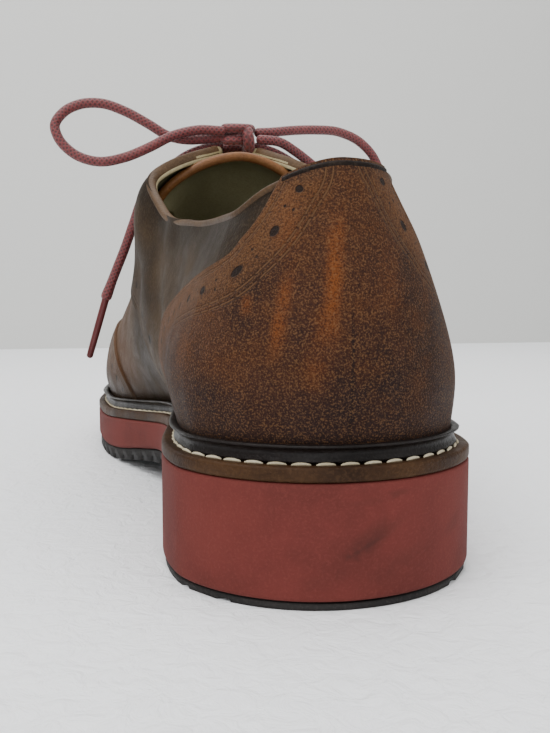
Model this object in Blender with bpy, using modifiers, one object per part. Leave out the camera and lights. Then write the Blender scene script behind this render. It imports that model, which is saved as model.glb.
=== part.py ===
"""Wingtip oxford, the right shoe: tread, midsole, welt, rand, insole, upper, tongue and lace.

The shoe points along +Y with its inner (medial) side at -X, and stands on Z = 0.
Every piece of the shoe is worked out from one table of sections, which describes the last.
"""

import math

import bmesh
import bpy
import numpy as np
from mathutils import Vector

# Driving sizes, in metres
LENGTH = 0.302  # sole, back of the heel to the toe
BALL_WIDTH = 0.108  # sole, across the ball
INSTEP_HEIGHT = 0.1165  # floor to the top of the facings
HEEL_SEAT = 0.026  # floor to the top of the midsole under the heel
TREAD_DEPTH = 0.0040  # under the forefoot
GROOVE_DEPTH = 0.0018  # where the tread is full
GROOVE_WIDTH = 0.0026
GROOVE_PITCH = 0.0095
GROOVE_SLOPE = 0.0004  # run of a groove's side
SOLE_BOND = 0.0006  # between the tread and the midsole, which bend together
SOLE_ROUND = 0.0010  # rounding at the foot of the midsole's side
WELT_DEPTH = 0.0030
WELT_EDGE = 0.0055  # from the foot of the upper out to the edge of the sole
WELT_ROUND = 0.0008  # rounding of its two edges
RAND_HEIGHT = 0.0036
RAND_WIDTH = 0.0020
RAND_EASE = 0.0008  # from the counter's face to the rand
VAMP_WALL = 0.0016
OVERLAY = 0.0009  # each leather laid over another
BINDING = 0.0005
BINDING_DEPTH = 0.05  # share of the wall's height
INSOLE_ABOVE_WELT = 0.0015
INSOLE_EASE = 0.0012  # from the lining to the insole's edge
INSOLE_ROUND = 0.0010  # rounding at the top of its edge
TONGUE_THICK = 0.0024
TONGUE_SPAN = (0.418, 0.655)  # shares of LENGTH at its top and at its foot
TONGUE_REACH = (0.27, 0.16)  # half widths there, shares of a section from the crest
TONGUE_SWEEP = 0.018  # share of the girth its top corners lie ahead of the middle
TONGUE_LEAN = -0.04  # share of a section its top has slid to the inner side
TONGUE_EASE = 0.0010  # from the lining to the tongue, which lies there unlaced
TOE_FALL = 0.36  # slope of the crest where the toe begins
LACE_DIAMETER = 0.0034
LACE_EASE = 0.0008  # from the facings to the lace over them
LACE_RISE = 0.30  # share of its diameter by which one strand of a crossing rises over the other
EYELET_DIAMETER = 0.0040
EYELET_PAIRS = 5
EYELET_SPAN = (0.487, 0.603)  # shares of LENGTH at the top pair and the bottom one
EYELET_INSET = 0.10  # share of a section, from the facing's edge
KNOT_SIZE = (0.0126, 0.0112, 0.0086)
KNOT_ROUND = 0.0026
AGLET_DIAMETER = 0.0030
AGLET_LENGTH = 0.022
GAP = 0.0003  # clearance between pieces that touch
SEAM_RUN = 0.0005  # width of the step where one leather ends

# Sections of the last, from the back of the heel to the toe. A section is a plane through an upright
# pivot, turned from straight back (0) through sideways (90) to straight ahead (180). Pivots are shares
# of LENGTH, crests of INSTEP_HEIGHT, reaches and the spine's offset of BALL_WIDTH. The four reaches of
# a side stand at the heights in LEVELS. A side's rim is the share of the section where its leather ends.
COLUMNS = (
    "pivot", "turn", "spine", "crest",
    "foot_in", "low_in", "mid_in", "high_in",
    "foot_out", "low_out", "mid_out", "high_out",
    "rim_in", "rim_out",
)
LEVELS = (0.0, 0.22, 0.52, 0.84, 1.0)
SECTIONS = (
    (0.119, 0, 0.000, 0.996, 0.282, 0.311, 0.283, 0.204, 0.282, 0.311, 0.283, 0.204, 0.634, 0.634),
    (0.119, 35, 0.000, 0.996, 0.281, 0.307, 0.255, 0.134, 0.288, 0.307, 0.255, 0.134, 0.600, 0.630),
    (0.119, 68, 0.000, 0.996, 0.281, 0.303, 0.223, 0.097, 0.297, 0.303, 0.223, 0.097, 0.560, 0.620),
    (0.139, 90, 0.000, 0.994, 0.273, 0.302, 0.219, 0.095, 0.302, 0.304, 0.219, 0.095, 0.564, 0.606),
    (0.238, 90, 0.000, 0.994, 0.239, 0.293, 0.253, 0.155, 0.304, 0.327, 0.275, 0.165, 0.583, 0.600),
    (0.331, 90, -0.004, 0.994, 0.219, 0.300, 0.298, 0.240, 0.316, 0.360, 0.335, 0.255, 0.645, 0.655),
    (0.387, 90, -0.006, 0.990, 0.231, 0.319, 0.328, 0.302, 0.331, 0.384, 0.362, 0.290, 0.775, 0.755),
    (0.430, 90, -0.009, 0.990, 0.259, 0.338, 0.338, 0.284, 0.352, 0.403, 0.378, 0.278, 0.905, 0.895),
    (0.467, 90, -0.009, 1.000, 0.292, 0.355, 0.333, 0.238, 0.375, 0.419, 0.380, 0.246, 0.950, 0.950),
    (0.546, 90, -0.005, 0.886, 0.366, 0.398, 0.352, 0.224, 0.431, 0.458, 0.398, 0.241, 0.950, 0.950),
    (0.600, 90, 0.002, 0.799, 0.403, 0.427, 0.375, 0.234, 0.458, 0.481, 0.418, 0.255, 0.965, 0.965),
    (0.629, 90, 0.005, 0.754, 0.414, 0.437, 0.386, 0.241, 0.468, 0.491, 0.428, 0.264, 1.000, 1.000),
    (0.679, 90, 0.009, 0.686, 0.426, 0.447, 0.401, 0.259, 0.481, 0.503, 0.444, 0.282, 1.000, 1.000),
    (0.745, 90, 0.017, 0.605, 0.419, 0.438, 0.402, 0.270, 0.465, 0.480, 0.435, 0.289, 1.000, 1.000),
    (0.795, 90, 0.019, 0.554, 0.401, 0.420, 0.388, 0.268, 0.434, 0.448, 0.411, 0.283, 1.000, 1.000),
    (0.795, 120, 0.019, 0.554, 0.414, 0.430, 0.403, 0.289, 0.432, 0.446, 0.417, 0.295, 1.000, 1.000),
    (0.795, 150, 0.019, 0.554, 0.470, 0.480, 0.454, 0.347, 0.475, 0.485, 0.458, 0.349, 1.000, 1.000),
    (0.795, 180, 0.019, 0.554, 0.515, 0.523, 0.496, 0.392, 0.515, 0.523, 0.496, 0.392, 1.000, 1.000),
)

# Profile of the sole: along is a share of LENGTH, under (the ground side) and over of HEEL_SEAT, and
# tread of TREAD_DEPTH
SOLE_COLUMNS = ("along", "under", "over", "tread")
SOLE_PROFILE = (
    (0.00, 0.000, 1.000, 0.35),
    (0.22, 0.000, 0.963, 0.35),
    (0.26, 0.037, 0.935, 0.45),
    (0.32, 0.249, 0.880, 0.80),
    (0.38, 0.286, 0.815, 1.00),
    (0.45, 0.185, 0.732, 1.00),
    (0.52, 0.055, 0.658, 1.00),
    (0.58, 0.000, 0.608, 1.00),
    (0.78, 0.000, 0.589, 1.00),
    (0.86, 0.055, 0.631, 1.00),
    (0.93, 0.148, 0.705, 1.00),
    (1.00, 0.295, 0.843, 1.00),
)
BARE_TREAD = ((0.08, 0.17), (0.63, 0.72))  # shares of LENGTH without grooves
TREAD_END = (0.002, 0.006, 0.014, 0.026)  # shares of LENGTH from either end, where its round is read

# Edges of the leathers, as pairs of a height and a place. The height is a share of the wall. The place is
# a share of LENGTH where the section's pivot stands or, when over 1, degrees round the heel from its back.
COUNTER_EDGE = (
    (0.0, 0.285), (0.30, 0.281), (0.50, 0.262), (0.61, 0.225), (0.67, 0.170),
    (0.76, 58), (0.83, 45), (1.0, 28),
)
QUARTER_EDGE = (
    (0.0, 0.34), (0.16, 0.345), (0.28, 0.365), (0.36, 0.40), (0.46, 0.47), (0.70, 0.56), (1.0, 0.629),
)
WING_EDGE = ((0.0, 0.50), (0.20, 0.53), (0.42, 0.62), (0.62, 0.73), (0.80, 0.775), (1.0, 0.735))

# Free ends and loops of the lace: routes in metres, chosen by hand from the knot outwards
LOOP_MEDIAL = (
    (-0.0101, -0.0134, 0.1210), (-0.0180, -0.0134, 0.1210), (-0.0275, -0.0132, 0.1186),
    (-0.0357, -0.0125, 0.1144), (-0.0441, -0.0115, 0.1109), (-0.0530, -0.0105, 0.1094),
    (-0.0610, -0.0095, 0.1119), (-0.0662, -0.0090, 0.1173), (-0.0673, -0.0085, 0.1213),
    (-0.0641, -0.0082, 0.1262), (-0.0589, -0.0080, 0.1290), (-0.0515, -0.0080, 0.1297),
    (-0.0430, -0.0080, 0.1272), (-0.0357, -0.0082, 0.1235), (-0.0277, -0.0085, 0.1192),
    (-0.0220, -0.0095, 0.1182), (-0.0165, -0.0100, 0.1185), (-0.0101, -0.0101, 0.1192),
)
LOOP_LATERAL = (
    (0.0036, -0.0098, 0.1216), (0.0083, -0.0092, 0.1221), (0.0170, -0.0072, 0.1235),
    (0.0257, -0.0050, 0.1245), (0.0362, -0.0020, 0.1247), (0.0459, 0.0008, 0.1215),
    (0.0520, 0.0024, 0.1158), (0.0544, 0.0030, 0.1100), (0.0530, 0.0028, 0.1050),
    (0.0480, 0.0018, 0.1020), (0.0400, -0.0010, 0.1024), (0.0310, -0.0048, 0.1070),
    (0.0232, -0.0082, 0.1120), (0.0170, -0.0108, 0.1154), (0.0109, -0.0130, 0.1180),
    (0.0036, -0.0140, 0.1184),
)
END_MEDIAL = (
    (-0.0101, -0.0072, 0.1167), (-0.0160, -0.0072, 0.1156), (-0.0220, -0.0072, 0.1130),
    (-0.0280, -0.0055, 0.1086), (-0.0335, -0.0030, 0.1035), (-0.0373, -0.0006, 0.0986),
    (-0.0406, -0.0003, 0.0900), (-0.0439, -0.0002, 0.0807), (-0.0476, -0.0002, 0.0715),
    (-0.0509, -0.0002, 0.0630),
)
AGLET_MEDIAL_TIP = (-0.0575, -0.0010, 0.0405)
END_LATERAL = (
    (0.0036, -0.0073, 0.1170), (0.0100, -0.0074, 0.1152), (0.0160, -0.0065, 0.1125),
    (0.0225, -0.0045, 0.1090), (0.0300, -0.0015, 0.1035), (0.0370, 0.0010, 0.0965),
    (0.0425, 0.0025, 0.0880), (0.0465, 0.0030, 0.0790), (0.0495, 0.0030, 0.0695),
    (0.0515, 0.0030, 0.0620),
)
AGLET_LATERAL_TIP = (0.0570, 0.0030, 0.0405)
KNOT_CENTRE = (-0.0033, -0.0112, 0.1203)

COLOURS = {
    "tread": (0.018, 0.016, 0.015), "sole": (0.25, 0.045, 0.038), "welt": (0.09, 0.042, 0.018),
    "rand": (0.017, 0.012, 0.011), "leather": (0.11, 0.047, 0.020), "lining": (0.13, 0.12, 0.06),
    "tongue": (0.16, 0.075, 0.028), "lace": (0.30, 0.045, 0.045), "aglet": (0.12, 0.035, 0.035),
}


def between(knots, values, at, free_ends=False, monotone=False):
    """Cubic through the rows of values at knots; level at its ends, unless they are free."""
    values = np.asarray(values, float)
    run = np.diff(knots)
    rise = np.diff(values) / run
    slopes = np.zeros(len(values))
    slopes[1:-1] = (rise[:-1] * run[1:] + rise[1:] * run[:-1]) / (run[:-1] + run[1:])
    if monotone:
        steepest = 3 * np.minimum(abs(rise[:-1]), abs(rise[1:]))
        same_way = rise[:-1] * rise[1:] > 0
        slopes[1:-1] = np.where(same_way, np.sign(rise[1:]) * np.minimum(abs(slopes[1:-1]), steepest), 0)
    if free_ends:
        slopes[0], slopes[-1] = rise[0], rise[-1]
    at = np.clip(at, knots[0], knots[-1])
    i = np.clip(np.searchsorted(knots, at, side="right") - 1, 0, len(run) - 1)
    t = (at - knots[i]) / run[i]
    start, end = values[i], values[i + 1]
    return (
        start * (1 + 2 * t) * (1 - t) ** 2
        + end * t * t * (3 - 2 * t)
        + run[i] * (slopes[i] * t * (1 - t) ** 2 - slopes[i + 1] * t * t * (1 - t))
    )


SECTION = {name: np.array([row[i] for row in SECTIONS], float) for i, name in enumerate(COLUMNS)}
SOLE = {name: np.array([row[i] for row in SOLE_PROFILE], float) for i, name in enumerate(SOLE_COLUMNS)}


def girth_knots():
    """Distance round the foot of the last from the back seam to each section, and the whole of it."""
    reach = BALL_WIDTH * (SECTION["foot_in"] + SECTION["foot_out"]) / 2
    turn = np.radians(SECTION["turn"])
    x = np.sin(turn) * reach
    y = LENGTH * SECTION["pivot"] - np.cos(turn) * reach
    round_it = np.concatenate([[0.0], np.cumsum(np.hypot(np.diff(x), np.diff(y)))])
    return round_it / round_it[-1], round_it[-1]


KNOTS, HALF_GIRTH = girth_knots()
FIRST_SIDE_ROW = 3
COLLAR_END_ROW = 6  # the binding ends here
LAST_SIDE_ROW = 14
INNER_WALL = VAMP_WALL + OVERLAY  # from the quarter's face in to the lining


def around_at(place):
    """Share of the half girth at a place: a share of LENGTH, or degrees round the heel when over 1."""
    if place > 1:
        return float(np.interp(place, SECTION["turn"][: FIRST_SIDE_ROW + 1], KNOTS[: FIRST_SIDE_ROW + 1]))
    rows = slice(FIRST_SIDE_ROW, LAST_SIDE_ROW + 1)
    return float(np.interp(place, SECTION["pivot"][rows], KNOTS[rows]))


def sole_height(y, column):
    """Height of the sole's ground side or top at a distance y from the back of the heel."""
    return HEEL_SEAT * between(SOLE["along"], SOLE[column], np.asarray(y) / LENGTH, monotone=True)


def tread_depth(y):
    """Thickness of the tread, which is worn thin under the heel."""
    return TREAD_DEPTH * between(SOLE["along"], SOLE["tread"], np.asarray(y) / LENGTH, monotone=True)


def foot_height(y):
    """Where the foot of the upper stands: on the welt, which lies on the midsole."""
    return sole_height(y, "over") + GAP + WELT_DEPTH + GAP


def column_at(name, around):
    if name in ("pivot", "turn"):
        return np.interp(around, KNOTS, SECTION[name])
    return between(KNOTS, SECTION[name], around, monotone=name.startswith("rim"))


def climb(levels, rise, beyond):
    """Curve through five levels, read at a share of the section; beyond is the level past the crest."""
    steps = np.stack([2 * levels[0] - levels[1], *levels, beyond])
    scaled = np.clip(rise, 0, 1) * (len(levels) - 1)
    k = np.clip(scaled.astype(int), 0, len(levels) - 2)
    t = scaled - k
    a, b, c, d = (np.take_along_axis(steps, (k + n)[None], 0)[0] for n in range(4))
    return b + 0.5 * t * (c - a + t * (2 * a - 5 * b + 4 * c - d + t * (3 * (b - c) + d - a)))


def last_point(around, side, rise, out=0.0):
    """Point on the last. side is -1 for the inner half and 1 for the outer, out stands off the surface."""
    given = (np.asarray(a, float) for a in (around, side, rise, out))
    around, side, rise, out = np.broadcast_arrays(*given)
    turn = np.radians(column_at("turn", around))
    pivot = LENGTH * column_at("pivot", around)
    ahead = -np.cos(turn)
    levels = []
    for level, share in (("foot", 1.0), ("low", 1.0), ("mid", 1.0), ("high", 0.7)):
        inner = column_at(level + "_in", around)
        outer = column_at(level + "_out", around)
        levels.append(BALL_WIDTH * np.where(side < 0, inner, outer) + share * out)
    levels.append(np.zeros_like(out))
    reach = climb(levels, rise, -levels[3])
    heights = [np.full_like(out, level) for level in LEVELS]
    share_up = climb(heights, rise, heights[3])
    foot = foot_height(pivot + ahead * levels[0])
    crest = INSTEP_HEIGHT * column_at("crest", around) + out
    y = pivot + ahead * reach
    x = BALL_WIDTH * column_at("spine", around) + side * np.sin(turn) * reach
    z = foot + (crest - foot) * share_up - TOE_FALL * np.maximum(ahead * reach, 0) * share_up**2
    return np.stack([x, y, z], axis=-1)


def outline(around, side, margin):
    """Foot line of the last, moved out by a margin. At the seams its normal runs along Y."""
    step = 1e-4
    before = last_point(np.maximum(around - step, 0), side, 0.0)[..., :2]
    after = last_point(np.minimum(around + step, 1), side, 0.0)[..., :2]
    along = after - before
    along /= np.linalg.norm(along, axis=-1, keepdims=True)
    normal = np.stack([side * along[..., 1], -side * along[..., 0]], axis=-1)
    normal[around <= 0] = (0.0, -1.0)
    normal[around >= 1] = (0.0, 1.0)
    return last_point(around, side, 0.0)[..., :2] + margin * normal


def loop_line(margin, stations):
    """The foot line all the way round: up the inner side, and back down the outer side."""
    inner = outline(stations, -np.ones_like(stations), margin)
    outer = outline(stations[1:-1][::-1], np.ones(len(stations) - 2), margin)
    return np.concatenate([inner, outer])


def origin_shift():
    """The middle of the sole's box on the floor, which is the part's origin."""
    line = loop_line(WELT_EDGE, np.linspace(0, 1, 400))
    return (line.min(axis=0) + line.max(axis=0)) / 2


SHIFT = np.append(origin_shift(), 0.0)


def material(name, colour, roughness, metallic=0.0):
    made = bpy.data.materials.new(name)
    made.use_nodes = True
    shader = made.node_tree.nodes["Principled BSDF"]
    shader.inputs["Base Color"].default_value = (*colour, 1.0)
    shader.inputs["Roughness"].default_value = roughness
    shader.inputs["Metallic"].default_value = metallic
    return made


def add_mesh(name, points, faces, finish, group, sharp=35):
    """Mesh object from points measured from the heel, moved to the origin and closed at its seams."""
    mesh = bpy.data.meshes.new(name)
    points = [tuple(p) for p in np.asarray(points) - SHIFT]
    mesh.from_pydata(points, [], [tuple(map(int, f)) for f in faces])
    work = bmesh.new()
    work.from_mesh(mesh)
    bmesh.ops.remove_doubles(work, verts=work.verts, dist=2e-6)
    bmesh.ops.dissolve_degenerate(work, dist=1e-6, edges=work.edges)
    bmesh.ops.triangulate(work, faces=work.faces)
    bmesh.ops.recalc_face_normals(work, faces=work.faces)
    work.to_mesh(mesh)
    work.free()
    mesh.shade_smooth()
    mesh.set_sharp_from_angle(angle=math.radians(sharp))
    if finish:
        mesh.materials.append(finish)
    piece = bpy.data.objects.new(name, mesh)
    group.objects.link(piece)
    return piece


def cross_strips(count):
    """Pairs of loop indices that face each other across the shoe, from the heel to the toe."""
    half = count // 2
    return [(i, (count - i) % count) for i in range(half + 1)]


def lay_rings(rings, closed):
    """Faces of rings of points laid one over another; closed joins the last ring to the first."""
    count = len(rings[0])
    faces = []
    pairs = len(rings) if closed else len(rings) - 1
    for k in range(pairs):
        low, high = k * count, (k + 1) % len(rings) * count
        for i in range(count):
            j = (i + 1) % count
            faces.append((low + i, low + j, high + j, high + i))
    if not closed:
        strips = cross_strips(count)
        for base in (0, (len(rings) - 1) * count):
            for (a, b), (c, d) in zip(strips, strips[1:]):
                faces.append([base + n for n in dict.fromkeys((a, c, d, b))])
    return faces


def ring_piece(name, profile, stations, closed, finish, group):
    """Piece whose cross-section is a list of (margin, height function) carried round the foot line."""
    rings = []
    for margin, height in profile:
        line = loop_line(margin, stations)
        rings.append(np.column_stack([line, height(line[:, 1])]))
    return add_mesh(name, np.concatenate(rings), lay_rings(rings, closed), finish, group)


def over(extra):
    return lambda y: sole_height(y, "over") + extra


def over_tread(extra):
    return lambda y: sole_height(y, "under") + tread_depth(y) + SOLE_BOND + extra


def make_midsole(finish, group):
    profile = (
        (WELT_EDGE - SOLE_ROUND, over_tread(0)),
        (WELT_EDGE - SOLE_ROUND * 0.3, over_tread(SOLE_ROUND * 0.5)),
        (WELT_EDGE, over_tread(SOLE_ROUND * 1.6)),
        (WELT_EDGE, over(-SOLE_ROUND * 0.5)),
        (WELT_EDGE - SOLE_ROUND * 0.5, over(0)),
    )
    return ring_piece("midsole", profile, np.linspace(0, 1, 37), False, finish, group)


def make_welt(finish, group):
    low, high = GAP, GAP + WELT_DEPTH
    inner = -INNER_WALL
    profile = (
        (inner, over(low)),
        (WELT_EDGE - WELT_ROUND / 2, over(low)),
        (WELT_EDGE, over(low + WELT_ROUND)),
        (WELT_EDGE, over(high - WELT_ROUND)),
        (WELT_EDGE - WELT_ROUND / 2, over(high)),
        (inner, over(high)),
    )
    return ring_piece("welt", profile, np.linspace(0, 1, 37), True, finish, group)


def wall_ring(height, out, stations):
    """Points all round the upper at a height above its foot and a distance off its leather."""
    around = np.concatenate([stations, stations[1:-1][::-1]])
    side = np.concatenate([-np.ones(len(stations)), np.ones(len(stations) - 2)])
    foot = last_point(around, side, 0.0)
    crest = last_point(around, side, 1.0)
    shares = np.linspace(0, 0.5, 60)
    heights = [np.full_like(shares, level) for level in LEVELS]
    share_up = climb(heights, shares, heights[3])
    rise = np.interp(height / (crest[:, 2] - foot[:, 2]), share_up, shares)
    ring = last_point(around, side, rise, out)
    ring[:, 2] = foot_height(ring[:, 1]) + height
    return ring


def make_rand(finish, group):
    """Strip that leans against the foot of the upper and stands on the welt, with a lip along its top."""
    inner = OVERLAY + RAND_EASE
    profile = (
        (GAP / 2, inner),
        (GAP / 2, inner + RAND_WIDTH * 0.8),
        (RAND_HEIGHT * 0.45, inner + RAND_WIDTH * 0.7),
        (RAND_HEIGHT * 0.65, inner + RAND_WIDTH),
        (RAND_HEIGHT * 0.88, inner + RAND_WIDTH),
        (RAND_HEIGHT, inner + RAND_WIDTH * 0.6),
        (RAND_HEIGHT * 0.9, inner),
        (RAND_HEIGHT * 0.45, inner),
    )
    rings = [wall_ring(height, out, np.linspace(0, 1, 41)) for height, out in profile]
    return add_mesh("rand", np.concatenate(rings), lay_rings(rings, True), finish, group)


def make_insole(finish, group):
    edge = -INNER_WALL - INSOLE_EASE
    thick = WELT_DEPTH + GAP + INSOLE_ABOVE_WELT
    profile = (
        (edge, over(GAP)),
        (edge, over(GAP + thick - INSOLE_ROUND)),
        (edge - INSOLE_ROUND, over(GAP + thick)),
    )
    return ring_piece("insole", profile, np.linspace(0, 1, 33), False, finish, group)


def grooves():
    """Distances from the heel where the tread's grooves begin, leaving out the bare stretches."""
    starts = np.arange(GROOVE_PITCH, LENGTH - GROOVE_PITCH, GROOVE_PITCH)
    bare = [(a * LENGTH, b * LENGTH) for a, b in BARE_TREAD]
    return [s for s in starts if not any(a - GROOVE_WIDTH < s < b for a, b in bare)]


def make_tread(finish, group):
    """Strip of bars across the sole: each row has its two edges at the ground and at the top."""
    line = loop_line(WELT_EDGE - SOLE_ROUND * 0.6, np.linspace(0, 1, 600))
    half = len(line) // 2
    inner, outer = line[: half + 1], np.append(line[half:], line[:1], axis=0)[::-1]
    ends = (inner[0, 1], inner[-1, 1])
    rows = []
    for start in grooves():
        for offset, cut in ((0, 0), (GROOVE_SLOPE, 1), (GROOVE_WIDTH - GROOVE_SLOPE, 1), (GROOVE_WIDTH, 0)):
            rows.append((start + offset, cut))
    for share in TREAD_END:
        rows.append((ends[0] + share * LENGTH, 0))
        rows.append((ends[1] - share * LENGTH, 0))
    for a, b in BARE_TREAD:
        rows.append(((a + b) / 2 * LENGTH, 0))
    rows.sort()
    y = np.array([row[0] for row in rows])
    cut = np.array([row[1] for row in rows])
    left = np.interp(y, inner[:, 1], inner[:, 0])
    right = np.interp(y, outer[:, 1], outer[:, 0])
    low = sole_height(y, "under")
    high = low + tread_depth(y)
    ground = low + cut * GROOVE_DEPTH * tread_depth(y) / TREAD_DEPTH
    points = np.stack(
        [
            np.column_stack([left, y, ground]), np.column_stack([right, y, ground]),
            np.column_stack([right, y, high]), np.column_stack([left, y, high]),
        ],
        axis=1,
    ).reshape(-1, 3)
    faces = []
    for i in range(len(y) - 1):
        a, b = 4 * i, 4 * i + 4
        for k in range(4):
            n = (k + 1) % 4
            faces.append((a + k, a + n, b + n, b + k))
    faces.append((0, 1, 2, 3))
    last = 4 * (len(y) - 1)
    faces.append((last, last + 1, last + 2, last + 3))
    return add_mesh("tread", points, faces, finish, group)


def edge_line(table, heights):
    """Share of the half girth where a leather ends, at each height of the wall."""
    places = [around_at(place) for _, place in table]
    return between(np.array([h for h, _ in table]), places, heights, free_ends=True, monotone=True)


def upper_rows(heights):
    """Rows of the upper from the back seam to the toe: girth, tops of the section, and stand-off."""
    start = np.zeros_like(heights)
    counter = edge_line(COUNTER_EDGE, heights)
    quarter = edge_line(QUARTER_EDGE, heights)
    wing = edge_line(WING_EDGE, heights)
    toe = np.ones_like(heights)
    run = SEAM_RUN / 2 / HALF_GIRTH
    panels = (
        (start, counter - run, 7, OVERLAY),
        (counter + run, quarter - run, 15, 0.0),
        (quarter + run, wing - run, 5, -OVERLAY),
        (wing + run, toe, 11, 0.0),
    )
    rows = []
    for number, (first, final, cells, out) in enumerate(panels):
        for share in np.linspace(0, 1, cells + 1):
            girth = first + (final - first) * share
            closed = number > 1
            top = np.array(girth[-1])
            rims = [1.0 if closed else float(column_at(rim, top)) for rim in ("rim_in", "rim_out")]
            rows.append((girth, rims, out, closed))
    return rows


def make_upper(finish, group):
    """Hollow upper: an outer and an inner skin, joined along the foot and along the topline."""
    bound = 1 - BINDING_DEPTH
    heights = np.array([0, 0.12, 0.24, 0.36, 0.46, 0.54, 0.60, 0.66, 0.73, 0.83, bound - 0.01, bound, 1.0])
    rows = upper_rows(heights)
    columns = len(heights)
    collar_end = around_at(SECTION["pivot"][COLLAR_END_ROW])
    points, faces = [], []
    for skin in ("outer", "inner"):
        for number, side in enumerate((-1, 1)):
            for girth, rims, out, closed in rows:
                stand = np.full(columns, out)
                if girth[-1] < collar_end:
                    stand[-2:] += BINDING
                if skin == "inner":
                    stand = np.full(columns, -INNER_WALL)
                points.append(last_point(girth, side, heights * rims[number], stand))
    block = len(rows) * columns

    def index(skin, side, row, column):
        return (2 * skin + side) * block + row * columns + column

    for side in (0, 1):
        for row in range(len(rows) - 1):
            for skin in (0, 1):
                for column in range(columns - 1):
                    faces.append([
                        index(skin, side, row, column), index(skin, side, row + 1, column),
                        index(skin, side, row + 1, column + 1), index(skin, side, row, column + 1),
                    ])
            edges = [0] if rows[row][3] else [0, columns - 1]
            for column in edges:
                faces.append([
                    index(0, side, row, column), index(0, side, row + 1, column),
                    index(1, side, row + 1, column), index(1, side, row, column),
                ])
    return add_mesh("upper", np.concatenate(points), faces, finish, group)


def across(around, offset, out):
    """Point over the crest: offset is the signed share of the section from the crest."""
    offset = np.asarray(offset, float)
    side = np.where(offset < 0, -1.0, 1.0)
    return last_point(around, side, 1 - np.abs(offset), out)


def eyelets():
    """Girth and offset from the crest of each pair of eyelets, from the top pair down."""
    places = np.linspace(*(around_at(place) for place in EYELET_SPAN), EYELET_PAIRS)
    return [(place, 1 - float(column_at("rim_in", np.array(place))) + EYELET_INSET) for place in places]


def punch_eyelets(upper, cutters):
    """Cut the eyelets through both facings, square to the leather."""
    work = bmesh.new()
    for place, offset in eyelets():
        for side in (-1, 1):
            outer = across(place, side * offset, 0.0) - SHIFT
            inner = across(place, side * offset, -INNER_WALL) - SHIFT
            axis = Vector(outer - inner).normalized()
            turn = axis.to_track_quat("Z", "Y").to_matrix().to_4x4()
            turn.translation = Vector((outer + inner) / 2)
            bmesh.ops.create_cone(
                work, cap_ends=True, segments=10, radius1=EYELET_DIAMETER / 2, radius2=EYELET_DIAMETER / 2,
                depth=4 * INNER_WALL, matrix=turn,
            )
    mesh = bpy.data.meshes.new("eyelet_punch")
    work.to_mesh(mesh)
    work.free()
    punch = bpy.data.objects.new("eyelet_punch", mesh)
    punch.hide_render = True
    punch.display_type = "WIRE"
    cutters.objects.link(punch)
    cut = upper.modifiers.new("eyelets", "BOOLEAN")
    cut.operation = "DIFFERENCE"
    cut.solver = "EXACT"
    cut.object = punch


def make_tongue(finish, group):
    """Plate under the facings, from inside the vamp up to its own rounded top."""
    rows = np.linspace(0, 1, 12)
    offsets = np.linspace(-1, 1, 13)
    top, bottom = (around_at(place) for place in TONGUE_SPAN)
    under_facing = -(INNER_WALL + TONGUE_EASE)
    points = []
    for depth in (0.0, TONGUE_THICK):
        for share in rows:
            half_width = TONGUE_REACH[0] + (TONGUE_REACH[1] - TONGUE_REACH[0]) * share
            place = top + (bottom - top) * share + (1 - share) ** 3 * TONGUE_SWEEP * offsets**2
            offset = offsets * half_width + (1 - share) * TONGUE_LEAN
            points.append(across(place, offset, under_facing - depth))
    count = len(offsets)
    block = len(rows) * count
    faces = []
    for i in range(len(rows) - 1):
        for j in range(count - 1):
            a = i * count + j
            for base in (0, block):
                faces.append([base + a, base + a + 1, base + a + count + 1, base + a + count])
        for j in (0, count - 1):
            a = i * count + j
            faces.append([a, a + count, block + a + count, block + a])
    for i in (0, len(rows) - 1):
        for j in range(count - 1):
            a = i * count + j
            faces.append([a, a + 1, block + a + 1, block + a])
    return add_mesh("tongue", np.concatenate(points), faces, finish, group)


def smooth_route(points, pitch):
    """Points a pitch apart on the curve that passes through the route's own points."""
    route = np.asarray(points, float)
    chords = np.concatenate([[0.0], np.cumsum(np.linalg.norm(np.diff(route, axis=0), axis=1))])
    fine = np.linspace(0, chords[-1], 400)
    curve = np.column_stack([between(chords, route[:, k], fine, free_ends=True) for k in range(3)])
    lengths = np.concatenate([[0.0], np.cumsum(np.linalg.norm(np.diff(curve, axis=0), axis=1))])
    even = np.linspace(0, lengths[-1], max(3, int(round(lengths[-1] / pitch)) + 1))
    return np.column_stack([np.interp(even, lengths, curve[:, k]) for k in range(3)])


def add_tube(name, points, diameter, finish, group):
    """Tube along a poly spline with filled ends."""
    curve = bpy.data.curves.new(name, "CURVE")
    curve.dimensions = "3D"
    curve.bevel_depth = diameter / 2
    curve.bevel_resolution = 2
    curve.use_fill_caps = True
    line = curve.splines.new("POLY")
    line.points.add(len(points) - 1)
    line.points.foreach_set("co", np.column_stack([points, np.ones(len(points))]).ravel())
    tube = bpy.data.objects.new(name, curve)
    tube.data.materials.append(finish)
    group.objects.link(tube)
    return tube


def as_mesh(tube, group):
    """The evaluated curve as a mesh object with its caps welded; the curve is removed."""
    bpy.context.view_layer.update()
    mesh = bpy.data.meshes.new_from_object(tube.evaluated_get(bpy.context.evaluated_depsgraph_get()))
    work = bmesh.new()
    work.from_mesh(mesh)
    bmesh.ops.remove_doubles(work, verts=work.verts, dist=1e-6)
    bmesh.ops.recalc_face_normals(work, faces=work.faces)
    work.to_mesh(mesh)
    work.free()
    solid = bpy.data.objects.new(tube.name, mesh)
    solid.matrix_world = tube.matrix_world
    group.objects.link(solid)
    bpy.data.objects.remove(tube)
    return solid


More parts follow.
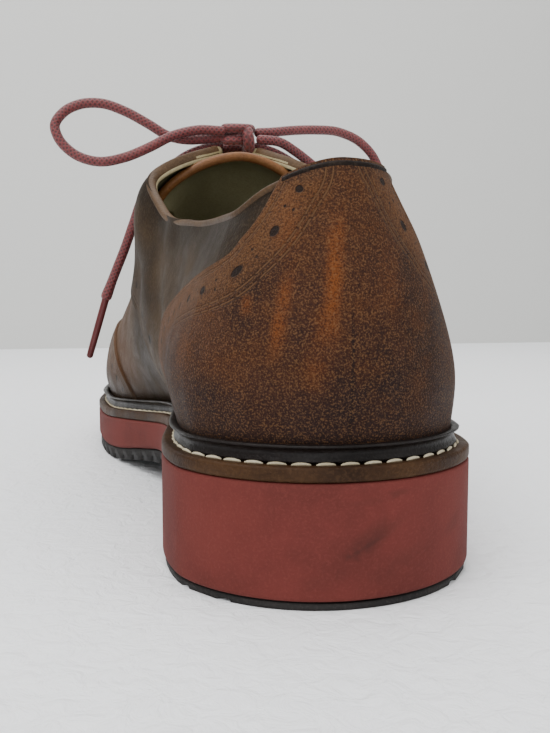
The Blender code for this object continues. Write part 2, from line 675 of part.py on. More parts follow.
def make_lace_bars(finish, group, cutters):
    """Crossings of the lace over the facings, joined into one solid, clear of the leather.

    A run ends past its eyelets, further at one than at the other, so that no two ends meet in one place.
    """
    radius = LACE_DIAMETER / 2
    stand = radius + LACE_EASE
    pairs = eyelets()
    runs = [(pairs[-1], pairs[-1], 1), (pairs[0], pairs[0], 1)]
    for upper_pair, lower_pair in zip(pairs, pairs[1:]):
        runs.append((upper_pair, lower_pair, 1))
        runs.append((upper_pair, lower_pair, -1))
    shares = np.linspace(-0.03, 1.05, 5)
    middle = np.sin(np.pi * np.clip(shares, 0, 1))
    tubes = []
    for number, (start, end, way) in enumerate(runs):
        place = start[0] + (end[0] - start[0]) * shares
        offset = way * (-start[1] + (end[1] + start[1]) * shares)
        rise = LACE_RISE * LACE_DIAMETER * middle if way < 0 else 0.0
        points = across(place, offset, stand + rise) - SHIFT
        tubes.append(as_mesh(add_tube(f"lace_run_{number}", points, LACE_DIAMETER, finish, group), cutters))
    bars = tubes[0]
    bars.name = "lace_bars"
    cutters.objects.unlink(bars)
    group.objects.link(bars)
    for tube in tubes[1:]:
        tube.hide_render = True
        tube.display_type = "WIRE"
        join = bars.modifiers.new("join", "BOOLEAN")
        join.operation = "UNION"
        join.solver = "EXACT"
        join.object = tube
    return bars


def make_knot(finish, group):
    """Rounded block that the loops and the ends of the lace meet."""
    work = bmesh.new()
    bmesh.ops.create_cube(work, size=1.0)
    bmesh.ops.scale(work, vec=KNOT_SIZE, verts=work.verts)
    mesh = bpy.data.meshes.new("lace_knot")
    work.to_mesh(mesh)
    work.free()
    mesh.materials.append(finish)
    knot = bpy.data.objects.new("lace_knot", mesh)
    knot.location = KNOT_CENTRE
    rounded = knot.modifiers.new("rounded", "BEVEL")
    rounded.width = KNOT_ROUND
    rounded.segments = 2
    group.objects.link(knot)
    return knot


def make_cords(finish, aglet_finish, group):
    pitch = 2.4 * LACE_DIAMETER
    add_tube("lace_loop_medial", smooth_route(LOOP_MEDIAL, pitch), LACE_DIAMETER, finish, group)
    add_tube("lace_loop_lateral", smooth_route(LOOP_LATERAL, pitch), LACE_DIAMETER, finish, group)
    for side, route, tip in (
        ("medial", END_MEDIAL, AGLET_MEDIAL_TIP), ("lateral", END_LATERAL, AGLET_LATERAL_TIP),
    ):
        add_tube(f"lace_end_{side}", smooth_route(route, pitch), LACE_DIAMETER, finish, group)
        end = Vector(route[-1])
        way = (Vector(tip) - end).normalized()
        start = end + GAP * way
        stick = [tuple(start), tuple(start + AGLET_LENGTH / 2 * way), tuple(start + AGLET_LENGTH * way)]
        add_tube(f"aglet_{side}", np.array(stick), AGLET_DIAMETER, aglet_finish, group)


def main():
    for old in list(bpy.data.objects):
        bpy.data.objects.remove(old)
    shoe = bpy.data.collections.new("wingtip_oxford")
    cutters = bpy.data.collections.new("cutters")
    for group in (shoe, cutters):
        bpy.context.scene.collection.children.link(group)
    finish = {name: material(name, colour, 0.75) for name, colour in COLOURS.items()}
    make_tread(finish["tread"], shoe)
    make_midsole(finish["sole"], shoe)
    make_welt(finish["welt"], shoe)
    make_rand(finish["rand"], shoe)
    make_insole(finish["lining"], shoe)
    upper = make_upper(finish["leather"], shoe)
    punch_eyelets(upper, cutters)
    make_tongue(finish["tongue"], shoe)
    make_lace_bars(finish["lace"], shoe, cutters)
    make_knot(finish["lace"], shoe)
    make_cords(finish["lace"], finish["aglet"], shoe)


main()
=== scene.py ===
import math

import bmesh
import bpy
import numpy as np
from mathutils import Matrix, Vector


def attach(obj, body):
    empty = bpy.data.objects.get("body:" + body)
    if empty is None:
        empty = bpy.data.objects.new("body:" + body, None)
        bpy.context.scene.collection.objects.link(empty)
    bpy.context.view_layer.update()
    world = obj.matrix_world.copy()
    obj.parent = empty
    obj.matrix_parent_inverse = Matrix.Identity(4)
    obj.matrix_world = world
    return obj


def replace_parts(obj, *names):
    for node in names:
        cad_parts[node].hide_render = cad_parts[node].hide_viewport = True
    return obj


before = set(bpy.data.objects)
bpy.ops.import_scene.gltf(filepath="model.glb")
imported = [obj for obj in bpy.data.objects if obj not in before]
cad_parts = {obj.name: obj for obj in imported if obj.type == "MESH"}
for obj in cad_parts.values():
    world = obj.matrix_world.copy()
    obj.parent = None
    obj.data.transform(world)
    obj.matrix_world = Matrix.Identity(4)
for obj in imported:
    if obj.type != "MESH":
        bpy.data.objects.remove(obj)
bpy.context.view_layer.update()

# The last: sizes in metres, shares as in the CAD source, so every panel lies where its solid is
last = {
    "length": 0.302, "ballWidth": 0.108, "instepHeight": 0.1165, "heelSeat": 0.026, "toeFall": 0.36,
    "weltDepth": 0.0030, "weltEdge": 0.0055, "vampWall": 0.0016, "overlay": 0.0009, "gap": 0.0003,
    "treadDepth": 0.0040, "grooveDepth": 0.0018, "bond": 0.0006,
    "levels": (0.0, 0.22, 0.52, 0.84, 1.0),
    "columns": (
        "pivot", "turn", "spine", "crest", "footIn", "lowIn", "midIn", "highIn",
        "footOut", "lowOut", "midOut", "highOut", "rimIn", "rimOut",
    ),
    "sections": (
        (0.119, 0, 0.000, 0.996, 0.282, 0.311, 0.283, 0.204, 0.282, 0.311, 0.283, 0.204, 0.634, 0.634),
        (0.119, 35, 0.000, 0.996, 0.281, 0.307, 0.255, 0.134, 0.288, 0.307, 0.255, 0.134, 0.600, 0.630),
        (0.119, 68, 0.000, 0.996, 0.281, 0.303, 0.223, 0.097, 0.297, 0.303, 0.223, 0.097, 0.560, 0.620),
        (0.139, 90, 0.000, 0.994, 0.273, 0.302, 0.219, 0.095, 0.302, 0.304, 0.219, 0.095, 0.564, 0.606),
        (0.238, 90, 0.000, 0.994, 0.239, 0.293, 0.253, 0.155, 0.304, 0.327, 0.275, 0.165, 0.583, 0.600),
        (0.331, 90, -0.004, 0.994, 0.219, 0.300, 0.298, 0.240, 0.316, 0.360, 0.335, 0.255, 0.645, 0.655),
        (0.387, 90, -0.006, 0.990, 0.231, 0.319, 0.328, 0.302, 0.331, 0.384, 0.362, 0.290, 0.775, 0.755),
        (0.430, 90, -0.009, 0.990, 0.259, 0.338, 0.338, 0.284, 0.352, 0.403, 0.378, 0.278, 0.905, 0.895),
        (0.467, 90, -0.009, 1.000, 0.292, 0.355, 0.333, 0.238, 0.375, 0.419, 0.380, 0.246, 0.950, 0.950),
        (0.546, 90, -0.005, 0.886, 0.366, 0.398, 0.352, 0.224, 0.431, 0.458, 0.398, 0.241, 0.950, 0.950),
        (0.600, 90, 0.002, 0.799, 0.403, 0.427, 0.375, 0.234, 0.458, 0.481, 0.418, 0.255, 0.965, 0.965),
        (0.629, 90, 0.005, 0.754, 0.414, 0.437, 0.386, 0.241, 0.468, 0.491, 0.428, 0.264, 1.000, 1.000),
        (0.679, 90, 0.009, 0.686, 0.426, 0.447, 0.401, 0.259, 0.481, 0.503, 0.444, 0.282, 1.000, 1.000),
        (0.745, 90, 0.017, 0.605, 0.419, 0.438, 0.402, 0.270, 0.465, 0.480, 0.435, 0.289, 1.000, 1.000),
        (0.795, 90, 0.019, 0.554, 0.401, 0.420, 0.388, 0.268, 0.434, 0.448, 0.411, 0.283, 1.000, 1.000),
        (0.795, 120, 0.019, 0.554, 0.414, 0.430, 0.403, 0.289, 0.432, 0.446, 0.417, 0.295, 1.000, 1.000),
        (0.795, 150, 0.019, 0.554, 0.470, 0.480, 0.454, 0.347, 0.475, 0.485, 0.458, 0.349, 1.000, 1.000),
        (0.795, 180, 0.019, 0.554, 0.515, 0.523, 0.496, 0.392, 0.515, 0.523, 0.496, 0.392, 1.000, 1.000),
    ),
    "soleAlong": (0.00, 0.22, 0.26, 0.32, 0.38, 0.45, 0.52, 0.58, 0.78, 0.86, 0.93, 1.00),
    "soleUnder": (0.000, 0.000, 0.037, 0.249, 0.286, 0.185, 0.055, 0.000, 0.000, 0.055, 0.148, 0.295),
    "soleOver": (1.000, 0.963, 0.935, 0.880, 0.815, 0.732, 0.658, 0.608, 0.589, 0.631, 0.705, 0.843),
    "soleTread": (0.35, 0.35, 0.45, 0.80, 1.00, 1.00, 1.00, 1.00, 1.00, 1.00, 1.00, 1.00),
    "counterEdge": (
        (0.0, 0.285), (0.30, 0.281), (0.50, 0.262), (0.61, 0.225), (0.67, 0.170), (0.76, 58), (0.83, 45),
        (1.0, 28)),
    "quarterEdge": (
        (0.0, 0.34), (0.16, 0.345), (0.28, 0.365), (0.36, 0.40), (0.46, 0.47), (0.70, 0.56), (1.0, 0.629)),
    "wingEdge": ((0.0, 0.50), (0.20, 0.53), (0.42, 0.62), (0.62, 0.73), (0.80, 0.775), (1.0, 0.735)),
}
innerWall = last["vampWall"] + last["overlay"]
probe = 0.001  # step off a surface that gives the way out of it
section = {
    name: np.array([row[i] for row in last["sections"]], float) for i, name in enumerate(last["columns"])}
shift = np.zeros(3)


# Cubic through the rows of values at knots: its slope at a knot is the weighted mean of its two neighbours,
# level at the ends unless they are free, and held back where monotone is asked for
def between(knots, values, at, freeEnds=False, monotone=False):
    knots, values = np.asarray(knots, float), np.asarray(values, float)
    run = np.diff(knots)
    rise = np.diff(values) / run
    slopes = np.zeros(len(values))
    slopes[1:-1] = (rise[:-1] * run[1:] + rise[1:] * run[:-1]) / (run[:-1] + run[1:])
    if monotone:
        steepest = 3 * np.minimum(abs(rise[:-1]), abs(rise[1:]))
        sameWay = rise[:-1] * rise[1:] > 0
        slopes[1:-1] = np.where(sameWay, np.sign(rise[1:]) * np.minimum(abs(slopes[1:-1]), steepest), 0)
    if freeEnds:
        slopes[0], slopes[-1] = rise[0], rise[-1]
    at = np.clip(at, knots[0], knots[-1])
    i = np.clip(np.searchsorted(knots, at, side="right") - 1, 0, len(run) - 1)
    t = (at - knots[i]) / run[i]
    return (
        values[i] * (1 + 2 * t) * (1 - t) ** 2
        + values[i + 1] * t * t * (3 - 2 * t)
        + run[i] * (slopes[i] * t * (1 - t) ** 2 - slopes[i + 1] * t * t * (1 - t))
    )


# Half girth of the foot line: the length round the foot from the back seam to each section, as a share
def girthKnots():
    reach = last["ballWidth"] * (section["footIn"] + section["footOut"]) / 2
    turn = np.radians(section["turn"])
    x, y = np.sin(turn) * reach, last["length"] * section["pivot"] - np.cos(turn) * reach
    length = np.concatenate([[0.0], np.cumsum(np.hypot(np.diff(x), np.diff(y)))])
    return length / length[-1], length[-1]


knots, halfGirth = girthKnots()


# Share of the half girth at a place: a share of the length, or degrees round the heel when over 1
def aroundAt(place):
    if place > 1:
        return float(np.interp(place, section["turn"][:4], knots[:4]))
    return float(np.interp(place, section["pivot"][3:15], knots[3:15]))


# Height of the sole at a place along it: a share of the heel seat, read from its profile
def soleHeight(y, column):
    place = np.asarray(y) / last["length"]
    return last["heelSeat"] * between(last["soleAlong"], last[column], place, monotone=True)


# Thickness of the tread, which is thinner under the heel
def treadDepth(y):
    place = np.asarray(y) / last["length"]
    return last["treadDepth"] * between(last["soleAlong"], last["soleTread"], place, monotone=True)


# Height where the upper begins: the top of the midsole, the welt and a gap on either side of it
def footHeight(y):
    return soleHeight(y, "soleOver") + 2 * last["gap"] + last["weltDepth"]


# Column of the sections at a share of the half girth: straight for pivots and turns, else a cubic
def columnAt(name, around):
    if name in ("pivot", "turn"):
        return np.interp(around, knots, section[name])
    return between(knots, section[name], around, monotone=name.startswith("rim"))


# Share of the section where the leather of a side ends
def rimAt(around, side):
    return np.where(np.asarray(side) < 0, columnAt("rimIn", around), columnAt("rimOut", around))


# Curve through five levels read at a share of the section; beyond is the level past the crest
def climb(levels, rise, beyond):
    steps = np.stack([2 * levels[0] - levels[1], *levels, beyond])
    scaled = np.clip(rise, 0, 1) * (len(levels) - 1)
    k = np.clip(scaled.astype(int), 0, len(levels) - 2)
    t = scaled - k
    a, b, c, d = (np.take_along_axis(steps, (k + n)[None], 0)[0] for n in range(4))
    return b + 0.5 * t * (c - a + t * (2 * a - 5 * b + 4 * c - d + t * (3 * (b - c) + d - a)))


# Point on the last: around is the share of the half girth from the back seam, side -1 inner or 1 outer,
# rise 0 at the foot to 1 at the crest, out the stand-off in metres
def lastPoint(around, side, rise, out=0.0):
    around, side, rise, out = np.broadcast_arrays(*(np.asarray(a, float) for a in (around, side, rise, out)))
    turn = np.radians(columnAt("turn", around))
    pivot = last["length"] * columnAt("pivot", around)
    ahead = -np.cos(turn)
    levels = []
    for level, share in (("foot", 1.0), ("low", 1.0), ("mid", 1.0), ("high", 0.7)):
        reachShare = np.where(side < 0, columnAt(level + "In", around), columnAt(level + "Out", around))
        levels.append(last["ballWidth"] * reachShare + share * out)
    levels.append(np.zeros_like(out))
    reach = climb(levels, rise, -levels[3])
    heights = [np.full_like(out, level) for level in last["levels"]]
    shareUp = climb(heights, rise, heights[3])
    foot = footHeight(pivot + ahead * levels[0])
    crest = last["instepHeight"] * columnAt("crest", around) + out
    y = pivot + ahead * reach
    x = last["ballWidth"] * columnAt("spine", around) + side * np.sin(turn) * reach
    z = foot + (crest - foot) * shareUp - last["toeFall"] * np.maximum(ahead * reach, 0) * shareUp**2
    return np.stack([x, y, z], axis=-1) - shift


# Foot line moved out by a margin, up the inner side and back down the outer, as a closed loop
def footLoop(margin, stations):
    lines = []
    for side in (-1.0, 1.0):
        before = lastPoint(np.maximum(stations - 1e-4, 0), side, 0.0)[..., :2]
        after = lastPoint(np.minimum(stations + 1e-4, 1), side, 0.0)[..., :2]
        along = after - before
        along /= np.linalg.norm(along, axis=-1, keepdims=True)
        normal = np.stack([side * along[..., 1], -side * along[..., 0]], axis=-1)
        normal[stations <= 0] = (0.0, -1.0)
        normal[stations >= 1] = (0.0, 1.0)
        lines.append(lastPoint(stations, side, 0.0)[..., :2] + margin * normal)
    return np.concatenate([lines[0], lines[1][1:-1][::-1]])


footEnds = footLoop(last["weltEdge"], np.linspace(0, 1, 400))
shift = np.append((footEnds.min(axis=0) + footEnds.max(axis=0)) / 2, 0.0)


# Point at an offset from the crest as a share of the section, under 0 on the inner side
def across(around, offset, out):
    return lastPoint(around, np.where(np.asarray(offset) < 0, -1.0, 1.0), 1 - np.abs(offset), out)


# Share of the half girth where a leather ends, at each height of the wall
def edgeLine(table, heights):
    places = [aroundAt(place) for _, place in table]
    return between([h for h, _ in table], places, heights, freeEnds=True, monotone=True)


# Distance of each point from a line and the length along the line where it is nearest
def nearLine(points, line, block=6000):
    flat = points.reshape(-1, 3)
    step = np.diff(line, axis=0)
    size = np.maximum((step**2).sum(axis=1), 1e-16)
    starts = np.concatenate([[0.0], np.cumsum(np.sqrt(size))])[:-1]
    along, away = np.zeros(len(flat)), np.zeros(len(flat))
    for first in range(0, len(flat), block):
        part = flat[first:first + block]
        t = np.clip(((part[:, None] - line[None, :-1]) * step).sum(axis=2) / size, 0, 1)
        gap = np.linalg.norm(part[:, None] - line[None, :-1] - t[..., None] * step, axis=2)
        best = gap.argmin(axis=1)
        rows = np.arange(len(part))
        away[first:first + block] = gap[rows, best]
        along[first:first + block] = starts[best] + t[rows, best] * np.sqrt(size[best])
    return along.reshape(points.shape[:-1]), away.reshape(points.shape[:-1])


# Quads of a grid of rows by columns, joined round where it is closed
def gridQuads(rows, columns, closedRows=False, closedColumns=False, base=0):
    r = np.arange(rows if closedRows else rows - 1)[:, None]
    c = np.arange(columns if closedColumns else columns - 1)[None, :]
    r2, c2 = (r + 1) % rows, (c + 1) % columns
    quads = np.stack([r * columns + c, r * columns + c2, r2 * columns + c2, r2 * columns + c], axis=-1)
    return quads.reshape(-1, 4) + base


# One mesh object from grids: each is (points, quads, outward) and its faces are turned the way of outward
def addPiece(name, grids, material, values=None, merge=2e-6, smooth=True):
    allPoints, allQuads, base = [], [], 0
    for points, quads, outward in grids:
        flat = points.reshape(-1, 3)
        corners = flat[quads]
        normal = np.cross(corners[:, 2] - corners[:, 0], corners[:, 3] - corners[:, 1])
        if (normal * outward.reshape(-1, 3)[quads[:, 0]]).sum() < 0:
            quads = quads[:, ::-1]
        allPoints.append(flat)
        allQuads.append(quads + base)
        base += len(flat)
    points, quads = np.concatenate(allPoints), np.concatenate(allQuads)
    mesh = bpy.data.meshes.new(name)
    mesh.vertices.add(len(points))
    mesh.vertices.foreach_set("co", points.ravel())
    mesh.loops.add(quads.size)
    mesh.loops.foreach_set("vertex_index", quads.ravel())
    mesh.polygons.add(len(quads))
    mesh.polygons.foreach_set("loop_start", np.arange(len(quads)) * 4)
    mesh.update(calc_edges=True)
    for label, data in (values or {}).items():
        field = mesh.attributes.new(label, "FLOAT", "POINT")
        field.data.foreach_set("value", np.asarray(data, float).ravel())
    if merge:
        work = bmesh.new()
        work.from_mesh(mesh)
        bmesh.ops.remove_doubles(work, verts=work.verts, dist=merge)
        bmesh.ops.dissolve_degenerate(work, dist=merge / 2, edges=work.edges)
        work.to_mesh(mesh)
        work.free()
    if smooth:
        mesh.shade_smooth()
    mesh.materials.append(material)
    piece = bpy.data.objects.new(name, mesh)
    bpy.context.scene.collection.objects.link(piece)
    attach(piece, "root")
    print("piece", name, len(mesh.polygons))
    return piece


# Length along a line at each of its points
def lengthsAlong(line):
    return np.concatenate([[0.0], np.cumsum(np.linalg.norm(np.diff(line, axis=0), axis=1))])


# Points a pitch apart on the curve through a route's own points
def smoothRoute(points, pitch):
    route = np.asarray(points, float)
    chords = lengthsAlong(route)
    fine = np.linspace(0, chords[-1], 400)
    curve = np.column_stack([between(chords, route[:, k], fine, freeEnds=True) for k in range(3)])
    lengths = lengthsAlong(curve)
    even = np.linspace(0, lengths[-1], max(3, int(round(lengths[-1] / pitch)) + 1))
    return np.column_stack([np.interp(even, lengths, curve[:, k]) for k in range(3)])


# Tube along a path: rings of radius r(t) square to the path, their first axis across the reference vector,
# rounded at both ends by rings that shrink as a quarter circle
def tubeGrid(path, radius, reference, sides=20, closed=False, capRings=6, capShare=0.9):
    path = np.asarray(path, float)
    if closed:
        tangent = np.roll(path, -1, axis=0) - np.roll(path, 1, axis=0)
    else:
        tangent = np.gradient(path, axis=0)
    tangent /= np.linalg.norm(tangent, axis=1, keepdims=True)
    radii = np.full(len(path), radius) if np.isscalar(radius) else np.asarray(radius)
    if not closed:
        turn = np.linspace(0, math.pi / 2, capRings + 1)[:-1]
        startRing = path[0] - tangent[0] * (radii[0] * np.cos(turn))[:, None] * capShare
        endRing = path[-1] + tangent[-1] * (radii[-1] * np.cos(turn[::-1]))[:, None] * capShare
        path = np.concatenate([startRing, path, endRing])
        tangent = np.concatenate([
            np.repeat(tangent[:1], capRings, 0), tangent, np.repeat(tangent[-1:], capRings, 0)])
        radii = np.concatenate([radii[0] * np.sin(turn), radii, radii[-1] * np.sin(turn[::-1])])
    reference = np.broadcast_to(np.asarray(reference, float), tangent.shape)
    first = np.cross(tangent, reference)
    first /= np.linalg.norm(first, axis=1, keepdims=True)
    second = np.cross(first, tangent)
    angle = np.linspace(0, 2 * math.pi, sides, endpoint=False)
    ring = first[:, None] * np.cos(angle)[None, :, None] + second[:, None] * np.sin(angle)[None, :, None]
    points = path[:, None] + radii[:, None, None] * ring
    along = np.repeat(lengthsAlong(path)[:, None], sides, axis=1)
    round_ = np.repeat((angle / (2 * math.pi))[None], len(path), axis=0)
    quads = gridQuads(len(path), sides, closedRows=closed, closedColumns=True)
    return points, quads, ring, along, round_


# Camera: it stands where the photograph was taken and turns to the one shoe
view = {"place": (-0.052, -0.3006, 0.063), "yaw": 12.0, "pitch": -5.0, "lens": 39.5}
cameraData = bpy.data.cameras.new("camera")
cameraData.lens = view["lens"]
cameraData.sensor_width = 36.0
camera = bpy.data.objects.new("camera", cameraData)
camera.location = view["place"]
camera.rotation_euler = (math.radians(90 + view["pitch"]), 0, math.radians(-view["yaw"]))
bpy.context.scene.collection.objects.link(camera)
bpy.context.scene.camera = camera


# Shader helpers: every value that changes over the surface is made of these few nodes
def newNodes(material):
    material.use_nodes = True
    tree = material.node_tree
    return tree, tree.nodes["Principled BSDF"]


# Joins a socket to another node's output, or gives it a value of its own
def feed(tree, socket, item):
    if isinstance(item, bpy.types.NodeSocket):
        tree.links.new(item, socket)
    else:
        socket.default_value = item


# New node; a setting named in_... goes to the input of that name
def put(tree, kind, **settings):
    node = tree.nodes.new(kind)
    for key, item in settings.items():
        if key.startswith("in_"):
            feed(tree, node.inputs[key[3:].replace("_", " ")], item)
        else:
            setattr(node, key, item)
    return node


# Arithmetic on one value or two
def compute(tree, operation, *items):
    node = put(tree, "ShaderNodeMath", operation=operation)
    for socket, item in zip(node.inputs, items):
        feed(tree, socket, item)
    return node.outputs[0]


def times(tree, a, b):
    return compute(tree, "MULTIPLY", a, b)


def plus(tree, a, b):
    return compute(tree, "ADD", a, b)


def minus(tree, a, b):
    return compute(tree, "SUBTRACT", a, b)


def ratio(tree, a, b):
    return compute(tree, "DIVIDE", a, b)


# Length of the arrow (a, b): the root of the sum of the squares
def distance(tree, a, b):
    return compute(tree, "SQRT", plus(tree, times(tree, a, a), times(tree, b, b)))


# Colour a turned into b by a factor of 0 to 1
def blendColour(tree, factor, a, b):
    node = put(tree, "ShaderNodeMix", data_type="RGBA")
    for index, item in ((0, factor), (6, a), (7, b)):
        feed(tree, node.inputs[index], (*item, 1.0) if isinstance(item, tuple) else item)
    return node.outputs[2]


# Value carried from low..high to toLow..toHigh, level at both ends
def spread(tree, item, low, high, toLow=0.0, toHigh=1.0):
    node = put(tree, "ShaderNodeMapRange", interpolation_type="SMOOTHSTEP")
    for socket, setting in zip(node.inputs, (item, low, high, toLow, toHigh)):
        feed(tree, socket, setting)
    return node.outputs[0]


# Noise of 0 to 1
def noise(tree, where, scale, detail, rough, distortion=0.0):
    return put(
        tree, "ShaderNodeTexNoise", in_Vector=where, in_Scale=scale, in_Detail=detail, in_Roughness=rough,
        in_Distortion=distortion).outputs[0]


# Empty node group with its named inputs and outputs
def groupOf(name, inputs, outputs):
    group = bpy.data.node_groups.new(name, "ShaderNodeTree")
    for label, kind, value in inputs:
        socket = group.interface.new_socket(label, in_out="INPUT", socket_type=kind)
        if value is not None:
            socket.default_value = value
    for label, kind in outputs:
        group.interface.new_socket(label, in_out="OUTPUT", socket_type=kind)
    return group, group.nodes.new("NodeGroupInput").outputs, group.nodes.new("NodeGroupOutput").inputs


def useGroup(tree, group, **values):
    node = put(tree, "ShaderNodeGroup", node_tree=group)
    for label, item in values.items():
        feed(tree, node.inputs[label.replace("_", " ")], item)
    return node.outputs


value, vector, colour = "NodeSocketFloat", "NodeSocketVector", "NodeSocketColor"


# Leather grain: pores from a Voronoi texture and fine creases from noise, as a height of 0 to 1
def makeGrain():
    tree, source, result = groupOf(
        "leather grain", [("Vector", vector, None), ("Pore Scale", value, 900.0), ("Crease", value, 0.5)],
        [("Height", value), ("Speckle", value)],
    )
    cells = put(tree, "ShaderNodeTexVoronoi", feature="F1")
    tree.links.new(source["Vector"], cells.inputs["Vector"])
    tree.links.new(source["Pore Scale"], cells.inputs["Scale"])
    pores = spread(tree, cells.outputs["Distance"], 0.0, 0.6)
    fine = noise(tree, source["Vector"], 2600.0, 2.0, 0.6)
    creases = noise(tree, source["Vector"], 420.0, 4.0, 0.65, 0.4)
    ridge = compute(tree, "ABSOLUTE", minus(tree, creases, 0.5))
    wrinkle = times(tree, spread(tree, ridge, 0.0, 0.12), source["Crease"])
    total = plus(tree, times(tree, pores, 0.45), times(tree, fine, 0.35))
    tree.links.new(plus(tree, total, wrinkle), result["Height"])
    tree.links.new(fine, result["Speckle"])
    return tree


# Row of stitches: capsules a pitch apart along a line that runs at a given distance from an edge
def makeStitchRow():
    tree, source, result = groupOf(
        "stitch row",
        [("Along", value, 0.0), ("Away", value, 0.0), ("Row", value, 0.002), ("Pitch", value, 0.0026),
         ("Length", value, 0.0018), ("Width", value, 0.0005)],
        [("Thread", value), ("Dent", value)],
    )
    place = ratio(tree, source["Along"], source["Pitch"])
    middle = minus(tree, compute(tree, "FRACT", place), 0.5)
    lengthwise = times(tree, compute(tree, "ABSOLUTE", middle), source["Pitch"])
    beyond = compute(tree, "MAXIMUM", minus(tree, lengthwise, times(tree, source["Length"], 0.5)), 0.0)
    aside = minus(tree, source["Away"], source["Row"])
    reach = distance(tree, beyond, aside)
    share = ratio(tree, reach, source["Width"])
    tree.links.new(spread(tree, share, 0.85, 0.35), result["Thread"])
    band = ratio(tree, compute(tree, "ABSOLUTE", aside), source["Width"])
    tree.links.new(spread(tree, band, 2.2, 0.2), result["Dent"])
    return tree


# Row of punched holes: circles a pitch apart at a given distance from an edge
def makeHoleRow():
    tree, source, result = groupOf(
        "hole row",
        [("Along", value, 0.0), ("Away", value, 0.0), ("Row", value, 0.006), ("Pitch", value, 0.009),
         ("Radius", value, 0.0013), ("Phase", value, 0.0)],
        [("Hole", value), ("Rim", value)],
    )
    place = plus(tree, ratio(tree, source["Along"], source["Pitch"]), source["Phase"])
    middle = times(tree, minus(tree, compute(tree, "FRACT", place), 0.5), source["Pitch"])
    aside = minus(tree, source["Away"], source["Row"])
    reach = distance(tree, middle, aside)
    share = ratio(tree, reach, source["Radius"])
    tree.links.new(spread(tree, share, 1.06, 0.86), result["Hole"])
    tree.links.new(spread(tree, share, 1.7, 0.95), result["Rim"])
    return tree


# Worn streak: a soft band from one (x, z) down to another on the back of the heel, as 0 to 1
def makeStreak():
    tree, source, result = groupOf(
        "worn streak",
        [("Vector", vector, None), ("Top X", value, 0.0), ("Top Z", value, 0.07), ("Foot X", value, 0.0),
         ("Foot Z", value, 0.05), ("Width", value, 0.002)],
        [("Worn", value)],
    )
    axes = put(tree, "ShaderNodeSeparateXYZ")
    tree.links.new(source["Vector"], axes.inputs[0])
    fall = minus(tree, source["Foot Z"], source["Top Z"])
    down = ratio(tree, minus(tree, axes.outputs[2], source["Top Z"]), fall)
    drift = times(tree, down, minus(tree, source["Foot X"], source["Top X"]))
    middle = plus(tree, source["Top X"], drift)
    aside = compute(tree, "ABSOLUTE", minus(tree, axes.outputs[0], middle))
    band = spread(tree, ratio(tree, aside, source["Width"]), 1.4, 0.1)
    ends = times(tree, spread(tree, down, -0.3, 0.25), spread(tree, down, 1.3, 0.6))
    behind = spread(tree, axes.outputs[1], -0.112, -0.130)
    tree.links.new(times(tree, times(tree, band, ends), behind), result["Worn"])
    return tree


grainGroup, stitchGroup, holeGroup, streakGroup = makeGrain(), makeStitchRow(), makeHoleRow(), makeStreak()


# How worn a streak is that runs from (topX, topZ) down to (footX, footZ)
def streakAt(tree, where, topX, topZ, footX, footZ, width):
    ends = {"Top_X": topX, "Top_Z": topZ, "Foot_X": footX, "Foot_Z": footZ}
    return useGroup(tree, streakGroup, Vector=where, Width=width, **ends)["Worn"]


# Surface normal tilted by a height
def addBump(tree, shader, height, strength, depth):
    bump = put(tree, "ShaderNodeBump", in_Strength=strength, in_Distance=depth)
    tree.links.new(height, bump.inputs["Height"])
    tree.links.new(bump.outputs["Normal"], shader.inputs["Normal"])


def attribute(tree, name):
    return put(tree, "ShaderNodeAttribute", attribute_name=name).outputs["Fac"]


# Row of stitches or holes at a distance from one of the panel's edges
def rowAlong(tree, group, edge, **values):
    along, away = attribute(tree, edge + "Along"), attribute(tree, edge + "Away")
    return useGroup(tree, group, Along=along, Away=away, **values)
